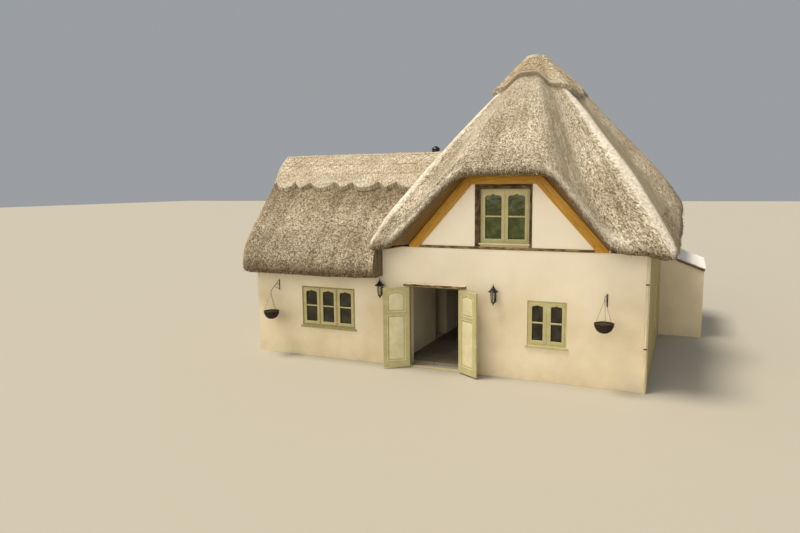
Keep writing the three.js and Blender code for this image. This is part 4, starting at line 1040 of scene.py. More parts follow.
def half_turned(piece, turned):
    """Turns a piece drawn on the front to the back of the house, where it is asked to."""
    if turned:
        piece.data.transform(Matrix.Rotation(math.pi, 4, "Z"))
    return piece


def bargeboards(turned):
    """The three boards round one gable: left, top and right."""
    sides = {
        "left": [outer[0], outer[1], outer[2], inner[2], inner[1], inner[0]],
        "top": [(outer[2][0] + MITRE, outer[2][1]), (outer[3][0] - MITRE, outer[3][1]),
                (inner[3][0] - MITRE, inner[3][1]), (inner[2][0] + MITRE, inner[2][1])],
        "right": [outer[3], outer[4], outer[5], inner[5], inner[4], inner[3]],
    }
    made = {}
    for i, (side, outline) in enumerate(sides.items()):
        board = prism(outline, "y", from_front(-BOARD_THICK), from_front(-GAP))
        start, stop = (outline[1], outline[2]) if side == "left" else (outline[0], outline[1])
        softened(board, 0.004)
        with_grain(board, (stop[0] - start[0], 0, stop[1] - start[1]), 0.37 * (i + 1) + turned)
        board.data.materials.clear()
        board.data.materials.append(stained)
        made[side] = half_turned(board, turned)
    return made


def soffit(turned):
    """Boards under the hood: on each stretch of its edge, side by side, splayed from the wall to the lip."""
    boards = []
    wall_low = gable_outline(BOARD_OUT + 0.001, BOARD_FOOT)
    wall_high = gable_outline(BOARD_OUT + SOFFIT_THICK, BOARD_FOOT)
    lip_low = hood_outline(LIP_HANG - SOFFIT_THICK, BOARD_FOOT)
    lip_high = hood_outline(LIP_HANG, BOARD_FOOT)
    for a, b in ((1, 2), (2, 3), (3, 4)):
        for i in range(SOFFIT_BOARDS):
            sections = []
            for share in ((i + SOFFIT_JOINT * (i > 0) + GAP) / SOFFIT_BOARDS, (i + 1) / SOFFIT_BOARDS):
                low_line = [mix(np.array(p), np.array(q), share) for p, q in zip(wall_low, lip_low)]
                high_line = [mix(np.array(p), np.array(q), share) for p, q in zip(wall_high, lip_high)]
                outline = [low_line[a], low_line[b], high_line[b], high_line[a]]
                sections.append((outline, from_front(-SOFFIT_DEPTH * share)))
            board = softened(lofted(sections), 0.002, 1)
            run_x, run_z = low_line[b] - low_line[a]
            with_grain(board, (run_x, 0, run_z), 0.53 * i + a + 0.2 * turned)
            boards.append(half_turned(board, turned))
    return merged("soffit", boards, shade_dark_board)


def merged(name, pieces, finish):
    """Several pieces made into one, with one finish."""
    whole = bmesh.new()
    for piece in pieces:
        whole.from_mesh(piece.data)
    mesh = bpy.data.meshes.new(name)
    whole.to_mesh(mesh)
    whole.free()
    for piece in pieces:
        bpy.data.objects.remove(piece)
    mesh.materials.append(finish)
    result = bpy.data.objects.new(name, mesh)
    scene.collection.objects.link(result)
    return result


for side, board in bargeboards(turned=False).items():
    board.name = f"bargeboard_{side}_planed"
    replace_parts(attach(board, "house"), f"bargeboard_{side}")
front_lining = soffit(turned=False)
front_lining.name = "front_soffit_boards"
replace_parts(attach(front_lining, "house"), "front_soffit")
rear_boards = merged("rear_bargeboards", list(bargeboards(turned=True).values()), stained)
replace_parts(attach(rear_boards, "house"), "rear_verge_boards")
rear_lining = soffit(turned=True)
rear_lining.name = "rear_soffit_boards"
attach(rear_lining, "house")


# Old timbers
# Posts, head and plate of oak round the gable window, and the oak lintel over the door: sawn, long
# weathered, and let into the wall.

# Weathered oak, dull: dark brown with black stains and checks along the grain; faces that look up are painted
# paler, a painted highlight.
old_oak, tree, shader = new_finish("weathered_oak")
lay = add_node(tree, "ShaderNodeTexCoord").outputs["UV"]
fibres = add_node(tree, "ShaderNodeTexNoise", {"Scale": 1, "Detail": 6, "Roughness": 0.65}, {
    "Vector": add_node(tree, "ShaderNodeMapping", {"Scale": (70, 3, 1)}, {"Vector": lay})})
blotches = add_node(tree, "ShaderNodeTexNoise", {"Scale": 1, "Detail": 4}, {
    "Vector": add_node(tree, "ShaderNodeMapping", {"Scale": (16, 5, 1)}, {"Vector": lay})})
fibre_colour = add_node(tree, "ShaderNodeValToRGB", {"stops": [
    (0.34, "#3A2A14"), (0.5, "#6A5330"), (0.7, "#957A48")]}, {"Fac": fibres})
blotched = add_node(tree, "ShaderNodeMixRGB", {"blend_type": "MULTIPLY", "Fac": 0.85}, {
    "Color1": fibre_colour,
    "Color2": add_node(tree, "ShaderNodeValToRGB", {"stops": [(0.4, "#4A3A2C"), (0.62, "#FFFFFF")]},
                       {"Fac": blotches})})
upward = add_node(tree, "ShaderNodeSeparateXYZ", {}, {
    "Vector": add_node(tree, "ShaderNodeNewGeometry").outputs["Normal"]}).outputs["Z"]
# Painted highlight: faces that look up are mixed paler.
top_light = add_node(tree, "ShaderNodeMapRange", {"From Min": 0.6, "From Max": 0.95, "To Max": 0.8},
                 {"Value": upward})
top_lit = add_node(tree, "ShaderNodeMixRGB", {"Color2": linear("#CFC2A2")},
                  {"Fac": top_light, "Color1": blotched})
checks = add_node(tree, "ShaderNodeBump", {"Strength": 0.5, "Distance": 0.006}, {"Height": fibres})
set_up(shader, {"Roughness": 0.8}, {"Base Color": top_lit, "Normal": checks})

# The plate and the lintel have bleached paler, and lime has run ragged over the lintel's upper edge.
bleached_oak = recoloured(old_oak, "bleached_oak", ("#6A522F", "#9C8052", "#BFA474"))
limed_oak, tree, shader, bare = aged(bleached_oak, "limed_oak")
place = add_node(tree, "ShaderNodeTexCoord").outputs["Object"]
height = add_node(tree, "ShaderNodeSeparateXYZ", {}, {"Vector": place}).outputs["Z"]
drips = add_node(tree, "ShaderNodeTexNoise", {"Scale": 11, "Detail": 5, "Roughness": 0.7},
                 {"Vector": place})
drip = add_node(tree, "ShaderNodeMath", {"operation": "MULTIPLY_ADD", 1: 0.05}, {0: drips, 2: height})
lime = add_node(tree, "ShaderNodeMapRange", {"From Min": 2.078, "From Max": 2.084}, {"Value": drip})
limed = add_node(tree, "ShaderNodeMixRGB", {"Color2": linear("#EADDC0")}, {"Fac": lime, "Color1": bare})
set_up(shader, {}, {"Base Color": limed})

plate_low, plate_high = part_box("timber_plate")
posts_low, posts_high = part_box("gable_window_posts")
lintel_low, lintel_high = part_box("door_lintel")
gable_frame_low, gable_frame_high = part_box("gable_window_frame")
POST_FOOT = PLATE_TOP + GAP
WAVER = 0.004
TIMBER_ARRIS = 0.007
post_width = gable_frame_low.x - posts_low.x


def timber(x0, x1, y0, y1, z0, z1, along, offset, steps=14):
    """A sawn beam whose long faces waver a few millimetres, with softened arrises."""
    beam = block(x0, x1, y0, y1, z0, z1)
    shape = bmesh.new()
    shape.from_mesh(beam.data)
    long_edges = [edge for edge in shape.edges
                  if abs((edge.verts[0].co - edge.verts[1].co).normalized().dot(Vector(along))) > 0.9]
    bmesh.ops.subdivide_edges(shape, edges=long_edges, cuts=steps)
    middle = Vector(((x0 + x1) / 2, (y0 + y1) / 2, (z0 + z1) / 2))
    for vert in shape.verts:
        inset = WAVER * noise.noise(vert.co * 2.3 + Vector((offset, 0, 0)))
        vert.co -= (vert.co - middle).normalized() * abs(inset)
    shape.to_mesh(beam.data)
    shape.free()
    return with_grain(softened(beam, TIMBER_ARRIS), along, offset)


UP, RIGHT = (0, 0, 1), (1, 0, 0)
post_y = (posts_low.y, posts_high.y)
posts = [
    timber(posts_low.x, posts_low.x + post_width, *post_y, POST_FOOT, posts_high.z - post_width, UP, 0.3),
    timber(gable_frame_high.x, posts_high.x, *post_y, POST_FOOT, posts_high.z - post_width, UP, 1.9),
    timber(posts_low.x, posts_high.x, *post_y, gable_frame_high.z, posts_high.z, RIGHT, 3.1),
]
window_posts = merged("gable_window_timbers", posts, old_oak)
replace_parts(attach(window_posts, "house"), "gable_window_posts")
PLATE_LONGER = 0.07
plate_beam = timber(plate_low.x - PLATE_LONGER, plate_high.x, plate_low.y, plate_high.y, plate_low.z,
                    plate_high.z, RIGHT, 5.2, 60)
plate = merged("timber_plate_sawn", [plate_beam], bleached_oak)
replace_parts(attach(plate, "house"), "timber_plate")
lintel_beam = timber(lintel_low.x, lintel_high.x, lintel_low.y, lintel_high.y, lintel_low.z, lintel_high.z,
                     RIGHT, 7.7, 30)
lintel = merged("door_lintel_sawn", [lintel_beam], limed_oak)
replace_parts(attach(lintel, "house"), "door_lintel")


# Windows
# Softwood casements, hung at their sides in painted frames. Each light has an ogee head and one
# glazing bar, and the glass is bedded against the back of the casement. The sill is one with the frame.
CASEMENT_PROUD = 0.01
CASEMENT_BACK = 0.02
CASEMENT_MARGIN = 0.06
CASEMENT_JOINT = 0.005
CASEMENT_ARRIS = 0.005
REBATE = 0.003
BAR_HIGH = 0.036
BAR_BACK = 0.03
BAR_ROUND = 0.011
FRAME_EDGE = 0.045


def ogee_light(x0, x1, z0, z1, steps=7):
    """The outline of a light with an ogee head."""
    width = x1 - x0
    middle = (x0 + x1) / 2
    spring, knee = z1 - 0.27 * width, z1 - 0.09 * width

    def curve(*bends):
        """Points of a bend drawn from its start and its end towards the place between them."""
        a, b, c = (np.array(bend) for bend in bends)
        return [tuple(mix(mix(a, b, t), mix(b, c, t), t)) for t in np.linspace(0, 1, steps)[1:]]

    right = [(x1, z0), (x1, spring)]
    right += curve((x1, spring), (x1, knee), (x1 - 0.24 * width, knee))
    right += curve((x1 - 0.24 * width, knee), (middle + 0.12 * width, knee), (middle, z1))
    return right + [(2 * middle - x, z) for x, z in right[:-1]][::-1]


def cut_board(outside, holes, y0, y1, edge):
    """A board standing on edge between two depths, cut to an outline, with rounded arrises."""
    curve = bpy.data.curves.new("board", "CURVE")
    curve.dimensions = "2D"
    curve.fill_mode = "BOTH"
    curve.extrude = (y1 - y0) / 2 - edge
    curve.bevel_depth = edge
    curve.bevel_resolution = 2
    curve.offset = -edge
    for outline in [outside, *holes]:
        line = curve.splines.new("POLY")
        line.points.add(len(outline) - 1)
        for point, (x, z) in zip(line.points, outline):
            point.co = (x, z, 0, 1)
        line.use_cyclic_u = True
    board = bpy.data.objects.new("board", curve)
    scene.collection.objects.link(board)
    bpy.context.view_layer.update()
    mesh = bpy.data.meshes.new_from_object(board.evaluated_get(bpy.context.evaluated_depsgraph_get()))
    bpy.data.objects.remove(board)
    mesh.transform(Matrix.Translation((0, (y0 + y1) / 2, 0)) @ Matrix.Rotation(math.pi / 2, 4, "X"))
    shape = bmesh.new()
    shape.from_mesh(mesh)
    bmesh.ops.remove_doubles(shape, verts=shape.verts, dist=1e-5)
    bmesh.ops.recalc_face_normals(shape, faces=shape.faces)
    shape.to_mesh(mesh)
    shape.free()
    mesh.shade_smooth()
    mesh.set_sharp_from_angle(angle=math.radians(40))
    result = bpy.data.objects.new("board", mesh)
    scene.collection.objects.link(result)
    return result


def rectangle(x0, x1, z0, z1):
    """The outline of a square-headed opening or board."""
    return [(x0, z0), (x1, z0), (x1, z1), (x0, z1)]


# Satin oil paint, sage green, brushed along the wood: fine brush lines, and faces that look up painted
# paler, a painted highlight.
sage_paint, tree, shader = new_finish("brushed_sage_paint")
place = add_node(tree, "ShaderNodeTexCoord").outputs["Object"]
bristles = add_node(tree, "ShaderNodeTexNoise", {"Scale": 1, "Detail": 4, "Roughness": 0.7}, {
    "Vector": add_node(tree, "ShaderNodeMapping", {"Scale": (120, 120, 6)}, {"Vector": place})})
weather = add_node(tree, "ShaderNodeTexNoise", {"Scale": 5, "Detail": 5, "Roughness": 0.65},
                   {"Vector": place})
sage_colour = add_node(tree, "ShaderNodeValToRGB", {"stops": [
    (0.34, "#AFA672"), (0.52, "#B8AF7E"), (0.7, "#C3BA8D")]}, {"Fac": weather})
brushed_sage = add_node(tree, "ShaderNodeMixRGB", {"blend_type": "OVERLAY", "Fac": 0.12},
                        {"Color1": sage_colour, "Color2": bristles.outputs["Color"]})
up = add_node(tree, "ShaderNodeSeparateXYZ", {}, {
    "Vector": add_node(tree, "ShaderNodeNewGeometry").outputs["Normal"]}).outputs["Z"]
# Painted highlight: faces that look up are mixed paler.
sage_top_light = add_node(tree, "ShaderNodeMapRange", {"From Min": 0.35, "From Max": 0.9, "To Max": 0.7},
                 {"Value": up})
sage_top_lit = add_node(tree, "ShaderNodeMixRGB", {"Color2": linear("#DDD8BC")},
                   {"Fac": sage_top_light, "Color1": brushed_sage})
paint_bump = add_node(tree, "ShaderNodeBump", {"Strength": 0.15, "Distance": 0.001}, {"Height": bristles})
set_up(shader, {"Roughness": 0.42}, {"Base Color": sage_top_lit, "Normal": paint_bump})

# The same paint where years of sun have chalked it, on the doors' panels; and a darker, greener copy
# for the wing's window, painted shade of the wing's deep eave.
chalky_sage = recoloured(sage_paint, "chalky_sage_paint", ("#CFC69C", "#D8D0AA", "#DFD8B8"))
# Painted shade: the wing window's frame paint is made darker.
shaded_sage = recoloured(sage_paint, "shaded_sage_paint", ("#8A7F4C", "#948A58", "#A29766"))

# Old window glass: near black with brown and green in it, a painted shade of the dark room behind, glossy,
# slightly wavy.
window_glass, tree, shader = new_finish("old_window_glass")
place = add_node(tree, "ShaderNodeTexCoord").outputs["Object"]
depth = add_node(tree, "ShaderNodeTexNoise", {"Scale": 4.5, "Detail": 3}, {"Vector": place})
# Painted shade: the glass's own colour is near black for the dark room behind it.
room_shade_colour = add_node(tree, "ShaderNodeValToRGB", {"stops": [
    (0.36, "#140E08"), (0.5, "#2A2414"), (0.64, "#3B3A24")]}, {"Fac": depth})
ripple = add_node(tree, "ShaderNodeBump", {"Strength": 0.25, "Distance": 0.01}, {
    "Height": add_node(tree, "ShaderNodeTexNoise", {"Scale": 6}, {"Vector": place})})
set_up(shader, {"Roughness": 0.04, "IOR": 1.52, "Alpha": 0.86},
       {"Base Color": room_shade_colour, "Normal": ripple})

# The gable's panes have greener glass.
green_glass = recoloured(window_glass, "green_window_glass", ("#353B10", "#454E1E", "#56602B"))

FRONT_LOW = 0.812
BEHIND_FACE = 0.02
BEHIND_POSTS = 0.05
EYEBROW_MIDDLE = from_front(EYEBROW["middle"])
COTTAGE = {"foot": 0.115, "head": 0.092, "z": FRONT_LOW, "y": BEHIND_FACE}
TWO_LIGHTS = {**COTTAGE, "width": 0.873, "height": 1.018, "lights": 2, "pane": 0.249, "stile": 0.103}
THREE_LIGHTS = {**COTTAGE, "width": 1.549, "height": 1.028, "lights": 3, "pane": 0.33, "stile": 0.113}
GABLE_LIGHTS = {"foot": 0.094, "head": 0.108, "z": 3.087, "y": BEHIND_POSTS, "width": 1.13, "height": 1.218,
                "lights": 2, "pane": 0.384, "stile": 0.108}
EYEBROW_LIGHTS = {"foot": 0.08, "head": 0.075, "z": 3.04, "y": BEHIND_FACE, "width": 0.82, "height": 0.45,
                  "lights": 2, "pane": 0.28, "stile": 0.095}
front_side = Matrix.Translation((0, from_front(0), 0))
right_side = Matrix.Translation((MAIN_HALF, 0, 0)) @ Matrix.Rotation(math.pi / 2, 4, "Z")
rear_side = Matrix.Rotation(math.pi, 4, "Z") @ front_side
WINDOWS = {
    "front_window": (front_side, 0.513, TWO_LIGHTS),
    "wing_window": (front_side, -5.395, THREE_LIGHTS),
    "gable_window": (front_side, -0.598, GABLE_LIGHTS),
    "side_window": (right_side, EYEBROW_MIDDLE - TWO_LIGHTS["width"] / 2, TWO_LIGHTS),
    "eyebrow_window": (right_side, EYEBROW_MIDDLE - EYEBROW_LIGHTS["width"] / 2, EYEBROW_LIGHTS),
    "rear_window": (rear_side, -0.775, THREE_LIGHTS),
    "rear_gable_window": (rear_side, -0.598, GABLE_LIGHTS),
}


def casements(at, left, size):
    """The casements and glazing bars of one window."""
    mullion = (size["width"] - 2 * size["stile"] - size["lights"] * size["pane"]) / (size["lights"] - 1)
    meeting = (mullion - CASEMENT_JOINT) / 2
    margin = meeting if size["lights"] == 2 else min(CASEMENT_MARGIN, meeting)
    top = size["height"] - size["head"]
    boards = []
    for i in range(size["lights"]):
        x0 = size["stile"] + i * (size["pane"] + mullion)
        x1 = x0 + size["pane"]
        hole = ogee_light(x0 + REBATE, x1 - REBATE, size["foot"] + REBATE, top - REBATE)
        west = FRAME_EDGE if i == 0 else x0 - margin
        east = size["width"] - FRAME_EDGE if i == size["lights"] - 1 else x1 + margin
        outside = rectangle(west, east, FRAME_EDGE, size["height"] - FRAME_EDGE)
        boards.append(cut_board(outside, [hole], -CASEMENT_PROUD, CASEMENT_BACK, CASEMENT_ARRIS))
        middle = (size["foot"] + top) / 2
        bar = block(x0, x1, -CASEMENT_PROUD / 2, BAR_BACK, middle - BAR_HIGH / 2, middle + BAR_HIGH / 2)
        boards.append(softened(bar, BAR_ROUND))
    for board in boards:
        board.data.transform(at @ Matrix.Translation((left, size["y"], size["z"])))
    return boards


for window, (at, left, size) in WINDOWS.items():
    joinery = merged(f"{window}_casements", casements(at, left, size), sage_paint)
    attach(joinery, "house")
    dress(shaded_sage if window == "wing_window" else sage_paint, f"{window}_frame")
    dress(green_glass if "gable" in window else window_glass, f"{window}_glass")

SILL_DEEP = 0.03
SILL_HIGH = 0.032
SILL_WIDER = 0.02
sill = block(gable_frame_low.x - SILL_WIDER, gable_frame_high.x + SILL_WIDER, from_front(-SILL_DEEP),
             from_front(-GAP), GABLE_LIGHTS["z"] - SILL_HIGH, GABLE_LIGHTS["z"] - GAP)
softened(sill, 0.006)
gable_sill = merged("gable_window_sill", [sill], chalky_sage)
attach(gable_sill, "house")


# Doorway
# A slim painted frame set in the wall's face, and a pair of framed and panelled doors hung on pins,
# standing open against the wall. Each has a tall panel below and an arched one above.
dress(sage_paint, "door_frame", "door_left", "door_right")
LEAF = {"thick": 0.045, "low": 0.035, "high": 1.98, "width": 0.645}
PIN_OUT = 0.02
LEAF_EDGE = 0.005
RAIL = 0.095
LOCK = 1.32
PANEL_IN = 0.014
PANEL_LEFT, PANEL_RIGHT = LEAF_EDGE + RAIL, LEAF["width"] - RAIL
STAND_OPEN = math.radians(147)
HINGES = {"left": -2.35, "right": -1.05}


def lower_panel(inset):
    """The outline of a leaf's tall lower panel, drawn in all round."""
    return rectangle(PANEL_LEFT + inset, PANEL_RIGHT - inset, LEAF["low"] + 1.6 * RAIL + inset, LOCK - inset)


def upper_panel(inset):
    """The outline of a leaf's arched upper panel, drawn in all round."""
    return ogee_light(PANEL_LEFT + inset, PANEL_RIGHT - inset, LOCK + 0.7 * RAIL + inset,
                      LEAF["high"] - 0.7 * RAIL - inset)


def panel_mouldings():
    """Beads round both panels of a leaf and their raised fields, on both faces, hinge at x = 0."""
    boards = []
    for shape in (lower_panel, upper_panel):
        for outer_face, panel_face in ((PIN_OUT, PIN_OUT + PANEL_IN),
                                       (PIN_OUT + LEAF["thick"], PIN_OUT + LEAF["thick"] - PANEL_IN)):
            out = math.copysign(1, outer_face - panel_face)
            low, high = sorted((panel_face - out * 0.001, outer_face + out * 0.003))
            boards.append(cut_board(shape(0.001), [shape(0.016)], low, high, 0.0045))
            low, high = sorted((panel_face - out * 0.002, panel_face + out * 0.007))
            boards.append(cut_board(shape(0.05), [], low, high, 0.004))
    return boards


for side, turn, flip in (("left", -STAND_OPEN, 1), ("right", STAND_OPEN, -1)):
    hang = (Matrix.Translation((HINGES[side], from_front(-PIN_OUT), 0)) @ Matrix.Rotation(turn, 4, "Z")
            @ Matrix.Diagonal((flip, 1, 1, 1)))
    boards = panel_mouldings()
    for board in boards:
        board.data.transform(hang)
        if flip < 0:
            board.data.flip_normals()
    mouldings = merged(f"door_{side}_mouldings", boards, chalky_sage)
    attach(mouldings, f"{side}_door")


# Floors
# Stone flags on screed in the lower rooms, and joists with pine boards upstairs.

# Sawn sandstone flags, about 500 mm, dull grey-buff with darker joints.
flags, tree, shader = new_finish("sawn_stone_flags")
place = add_node(tree, "ShaderNodeTexCoord").outputs["Object"]
laid = add_node(tree, "ShaderNodeTexBrick", {
    "Scale": 1, "Brick Width": 0.62, "Row Height": 0.46, "Mortar Size": 0.007, "Color1": linear("#8D8371"),
    "Color2": linear("#7A6F5E"), "Mortar": linear("#4A4236")}, {"Vector": place})
riven = add_node(tree, "ShaderNodeTexNoise", {"Scale": 9, "Detail": 6}, {"Vector": place})
flag_colour = add_node(tree, "ShaderNodeMixRGB", {"blend_type": "OVERLAY", "Fac": 0.35},
                       {"Color1": laid, "Color2": riven.outputs["Color"]})
riven_bump = add_node(tree, "ShaderNodeBump", {"Strength": 0.3, "Distance": 0.003}, {"Height": riven})
set_up(shader, {"Roughness": 0.7}, {"Base Color": flag_colour, "Normal": riven_bump})
dress(flags, "main_floor", "wing_floor")

# Planed pine boards, 140 mm wide, honey brown with dark joints and long grain.
pine, tree, shader = new_finish("planed_pine_boards")
place = add_node(tree, "ShaderNodeTexCoord").outputs["Object"]
planks = add_node(tree, "ShaderNodeTexBrick", {
    "Scale": 1, "Brick Width": 2.4, "Row Height": 0.14, "Mortar Size": 0.003, "Color1": linear("#9A7444"),
    "Color2": linear("#876238"), "Mortar": linear("#2E2012")}, {"Vector": place})
pine_grain = add_node(tree, "ShaderNodeTexNoise", {"Scale": 1, "Detail": 5}, {
    "Vector": add_node(tree, "ShaderNodeMapping", {"Scale": (3, 80, 3)}, {"Vector": place})})
pine_colour = add_node(tree, "ShaderNodeMixRGB", {"blend_type": "OVERLAY", "Fac": 0.4},
                       {"Color1": planks, "Color2": pine_grain.outputs["Color"]})
set_up(shader, {"Roughness": 0.5}, {"Base Color": pine_colour})
dress(pine, "first_floor")


# Lean-to roof
# Pale clay tiles in courses on battens, closed at the front and back by a narrow verge board, painted dark as
# the shadow line under the roof's edge.

# Weathered clay tiles, bleached near white with pink and grey in them, rough.
tile_clay, tree, shader = new_finish("bleached_clay_tile")
place = add_node(tree, "ShaderNodeTexCoord").outputs["Object"]
tile_tone = add_node(tree, "ShaderNodeTexNoise", {"Scale": 7, "Detail": 5, "Roughness": 0.7},
                     {"Vector": place})
tile_colour = add_node(tree, "ShaderNodeValToRGB", {"stops": [
    (0.3, "#E2DCD6"), (0.5, "#F7F4F0"), (0.68, "#FFFFFF")]}, {"Fac": tile_tone})
grit = add_node(tree, "ShaderNodeBump", {"Strength": 0.15, "Distance": 0.002}, {
    "Height": add_node(tree, "ShaderNodeTexNoise", {"Scale": 60, "Detail": 3}, {"Vector": place})})
set_up(shader, {"Roughness": 0.75}, {"Base Color": tile_colour, "Normal": grit})

cover_low, cover_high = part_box("leanto_roof")
LEANTO_HIGH, LEANTO_LOW, LEANTO_WIDE = 2.4, 1.956, 1.1437  # its heads at the house and outside
LEANTO_PITCH = (LEANTO_HIGH - LEANTO_LOW) / LEANTO_WIDE
LEANTO_DEEP = 0.06
COURSES = 6
TILE_WIDE = 0.2
TILE_THICK = 0.014
BATTEN_HIGH = 0.026
TILE_FOOT = 0.04  # a tile's foot lies on the course below
VERGE_IN = 0.01
VERGE_DEEP = 0.045
VERGE_THICK = 0.022
pitch_angle = math.atan(LEANTO_PITCH)
run = cover_high.x - cover_low.x
slope_length = run / math.cos(pitch_angle)
gauge = slope_length / COURSES


def down_slope(along, y, above):
    """A point on the lean-to roof: how far down the slope, and how far above its underside."""
    x = cover_low.x + along * math.cos(pitch_angle) + above * math.sin(pitch_angle)
    z = cover_high.z - LEANTO_DEEP - along * math.sin(pitch_angle) + above * math.cos(pitch_angle)
    return (x, y, z)


def slab(low, high, y0, y1, a0, a1, b0, b1):
    """A thin slab lying on the slope, its thickness given at its upper and lower ends."""
    points = [down_slope(along, y, above) for y in (y0, y1)
              for along, above in ((low, a0), (high, b0), (high, b1), (low, a1))]
    faces = [(0, 1, 2, 3), (7, 6, 5, 4), (0, 4, 5, 1), (1, 5, 6, 2), (2, 6, 7, 3), (3, 7, 4, 0)]
    return points, faces


tiles = [slab(0.01, slope_length - 0.035, cover_low.y + VERGE_IN, cover_high.y - VERGE_IN, 0.0, BATTEN_HIGH,
              0.0, BATTEN_HIGH)]
across_count = round((cover_high.y - cover_low.y) / TILE_WIDE)
wide = (cover_high.y - cover_low.y) / across_count
for course in range(COURSES):
    shift = 0.5 * (course % 2)
    for i in range(-1, across_count):
        y0 = max(cover_low.y, cover_low.y + (i + shift) * wide + 0.002)
        y1 = min(cover_high.y, cover_low.y + (i + 1 + shift) * wide - 0.002)
        if y1 - y0 < 0.02:
            continue
        rise = 0.003 * random.random()
        top = max(0, course * gauge - 0.03)
        foot = min((course + 1) * gauge, slope_length - 0.02) - 0.004 * random.random()
        tiles.append(slab(top, foot, y0, y1, BATTEN_HIGH, BATTEN_HIGH + TILE_THICK, TILE_FOOT + rise,
                          TILE_FOOT + TILE_THICK + rise))
tiled = joined("leanto_tiles", tiles, tile_clay, smooth=False)
softened(tiled, 0.003, 1)
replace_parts(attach(tiled, "house"), "leanto_roof")

# Painted shade: the verge boards take the darkened board finish as the roof edge's shadow line.
verges = []
for y in (cover_low.y + VERGE_IN, cover_high.y - VERGE_IN - VERGE_THICK):
    verges.append(slab(0.0, slope_length - 0.03, y, y + VERGE_THICK, -VERGE_DEEP, 0.02, -VERGE_DEEP, 0.02))
verge_boards = joined("leanto_verge_boards", verges, shade_dark_board, smooth=False)
softened(verge_boards, 0.003)
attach(verge_boards, "house")


# Lanterns
# Six-sided coach lanterns of black-painted iron, each on an arm from a wall plate, with pale glass
# panes between thin bars, a flared roof with a finial, and a drop below.
def lathe(profile, x, y, sides=24, turn=0.0):
    """Points and faces turned about an upright axis from (radius, height) pairs, closed at both ends."""
    angles = [2 * math.pi * k / sides + turn for k in range(sides)]
    points = [(x + radius * math.cos(a), y + radius * math.sin(a), z)
              for radius, z in profile for a in angles]
    return points, drum_faces(len(profile), sides)


def lump(x0, x1, y0, y1, z0, z1):
    """Points and faces of a squared bar or plate."""
    points = [(x, y, z) for z in (z0, z1) for x, y in ((x0, y0), (x1, y0), (x1, y1), (x0, y1))]
    return points, [(3, 2, 1, 0), (4, 5, 6, 7), (0, 1, 5, 4), (1, 2, 6, 5), (2, 3, 7, 6), (3, 0, 4, 7)]


# Cast and wrought iron under black gloss gone satin, with dust on it.
black_iron, tree, shader = new_finish("painted_black_iron")
place = add_node(tree, "ShaderNodeTexCoord").outputs["Object"]
dust = add_node(tree, "ShaderNodeTexNoise", {"Scale": 22, "Detail": 4}, {"Vector": place})
iron_colour = add_node(tree, "ShaderNodeValToRGB", {"stops": [(0.4, "#0A0B0B"), (0.75, "#1B1C1B")]},
                       {"Fac": dust})
hammered = add_node(tree, "ShaderNodeBump", {"Strength": 0.3, "Distance": 0.0015}, {
    "Height": add_node(tree, "ShaderNodeTexNoise", {"Scale": 70, "Detail": 2}, {"Vector": place})})
set_up(shader, {"Roughness": 0.38}, {"Base Color": iron_colour, "Normal": hammered})

# Seeded lantern glass: clear, thin, with a pale sheen and small bubbles.
lantern_glass, tree, shader = new_finish("seeded_lantern_glass")
place = add_node(tree, "ShaderNodeTexCoord").outputs["Object"]
seeds = add_node(tree, "ShaderNodeTexNoise", {"Scale": 40, "Detail": 2}, {"Vector": place})
pane_colour = add_node(tree, "ShaderNodeValToRGB", {"stops": [(0.35, "#A39783"), (0.65, "#D8D2C2")]},
                       {"Fac": seeds})
seed_bump = add_node(tree, "ShaderNodeBump", {"Strength": 0.2, "Distance": 0.001}, {"Height": seeds})
set_up(shader, {"Roughness": 0.08, "IOR": 1.5, "Alpha": 0.45},
       {"Base Color": pane_colour, "Normal": seed_bump})

# A frosted lamp on a short sleeve, white and matt.
lamp_white, tree, shader = new_finish("frosted_lamp_glass")
frost = add_node(tree, "ShaderNodeTexNoise", {"Scale": 60})
frost_colour = add_node(tree, "ShaderNodeValToRGB", {"stops": [(0.3, "#E4E0D2"), (0.7, "#F8F6EE")]},
                        {"Fac": frost})
set_up(shader, {"Roughness": 0.5}, {"Base Color": frost_colour})

LANTERN_OUT = 0.15
SIX = math.pi / 6
BODY_TOP, BODY_FOOT = 0.066, 0.042
BODY_HIGH = 0.31
LANTERN_HIGH = 0.49
ROOF_OUT = 0.126


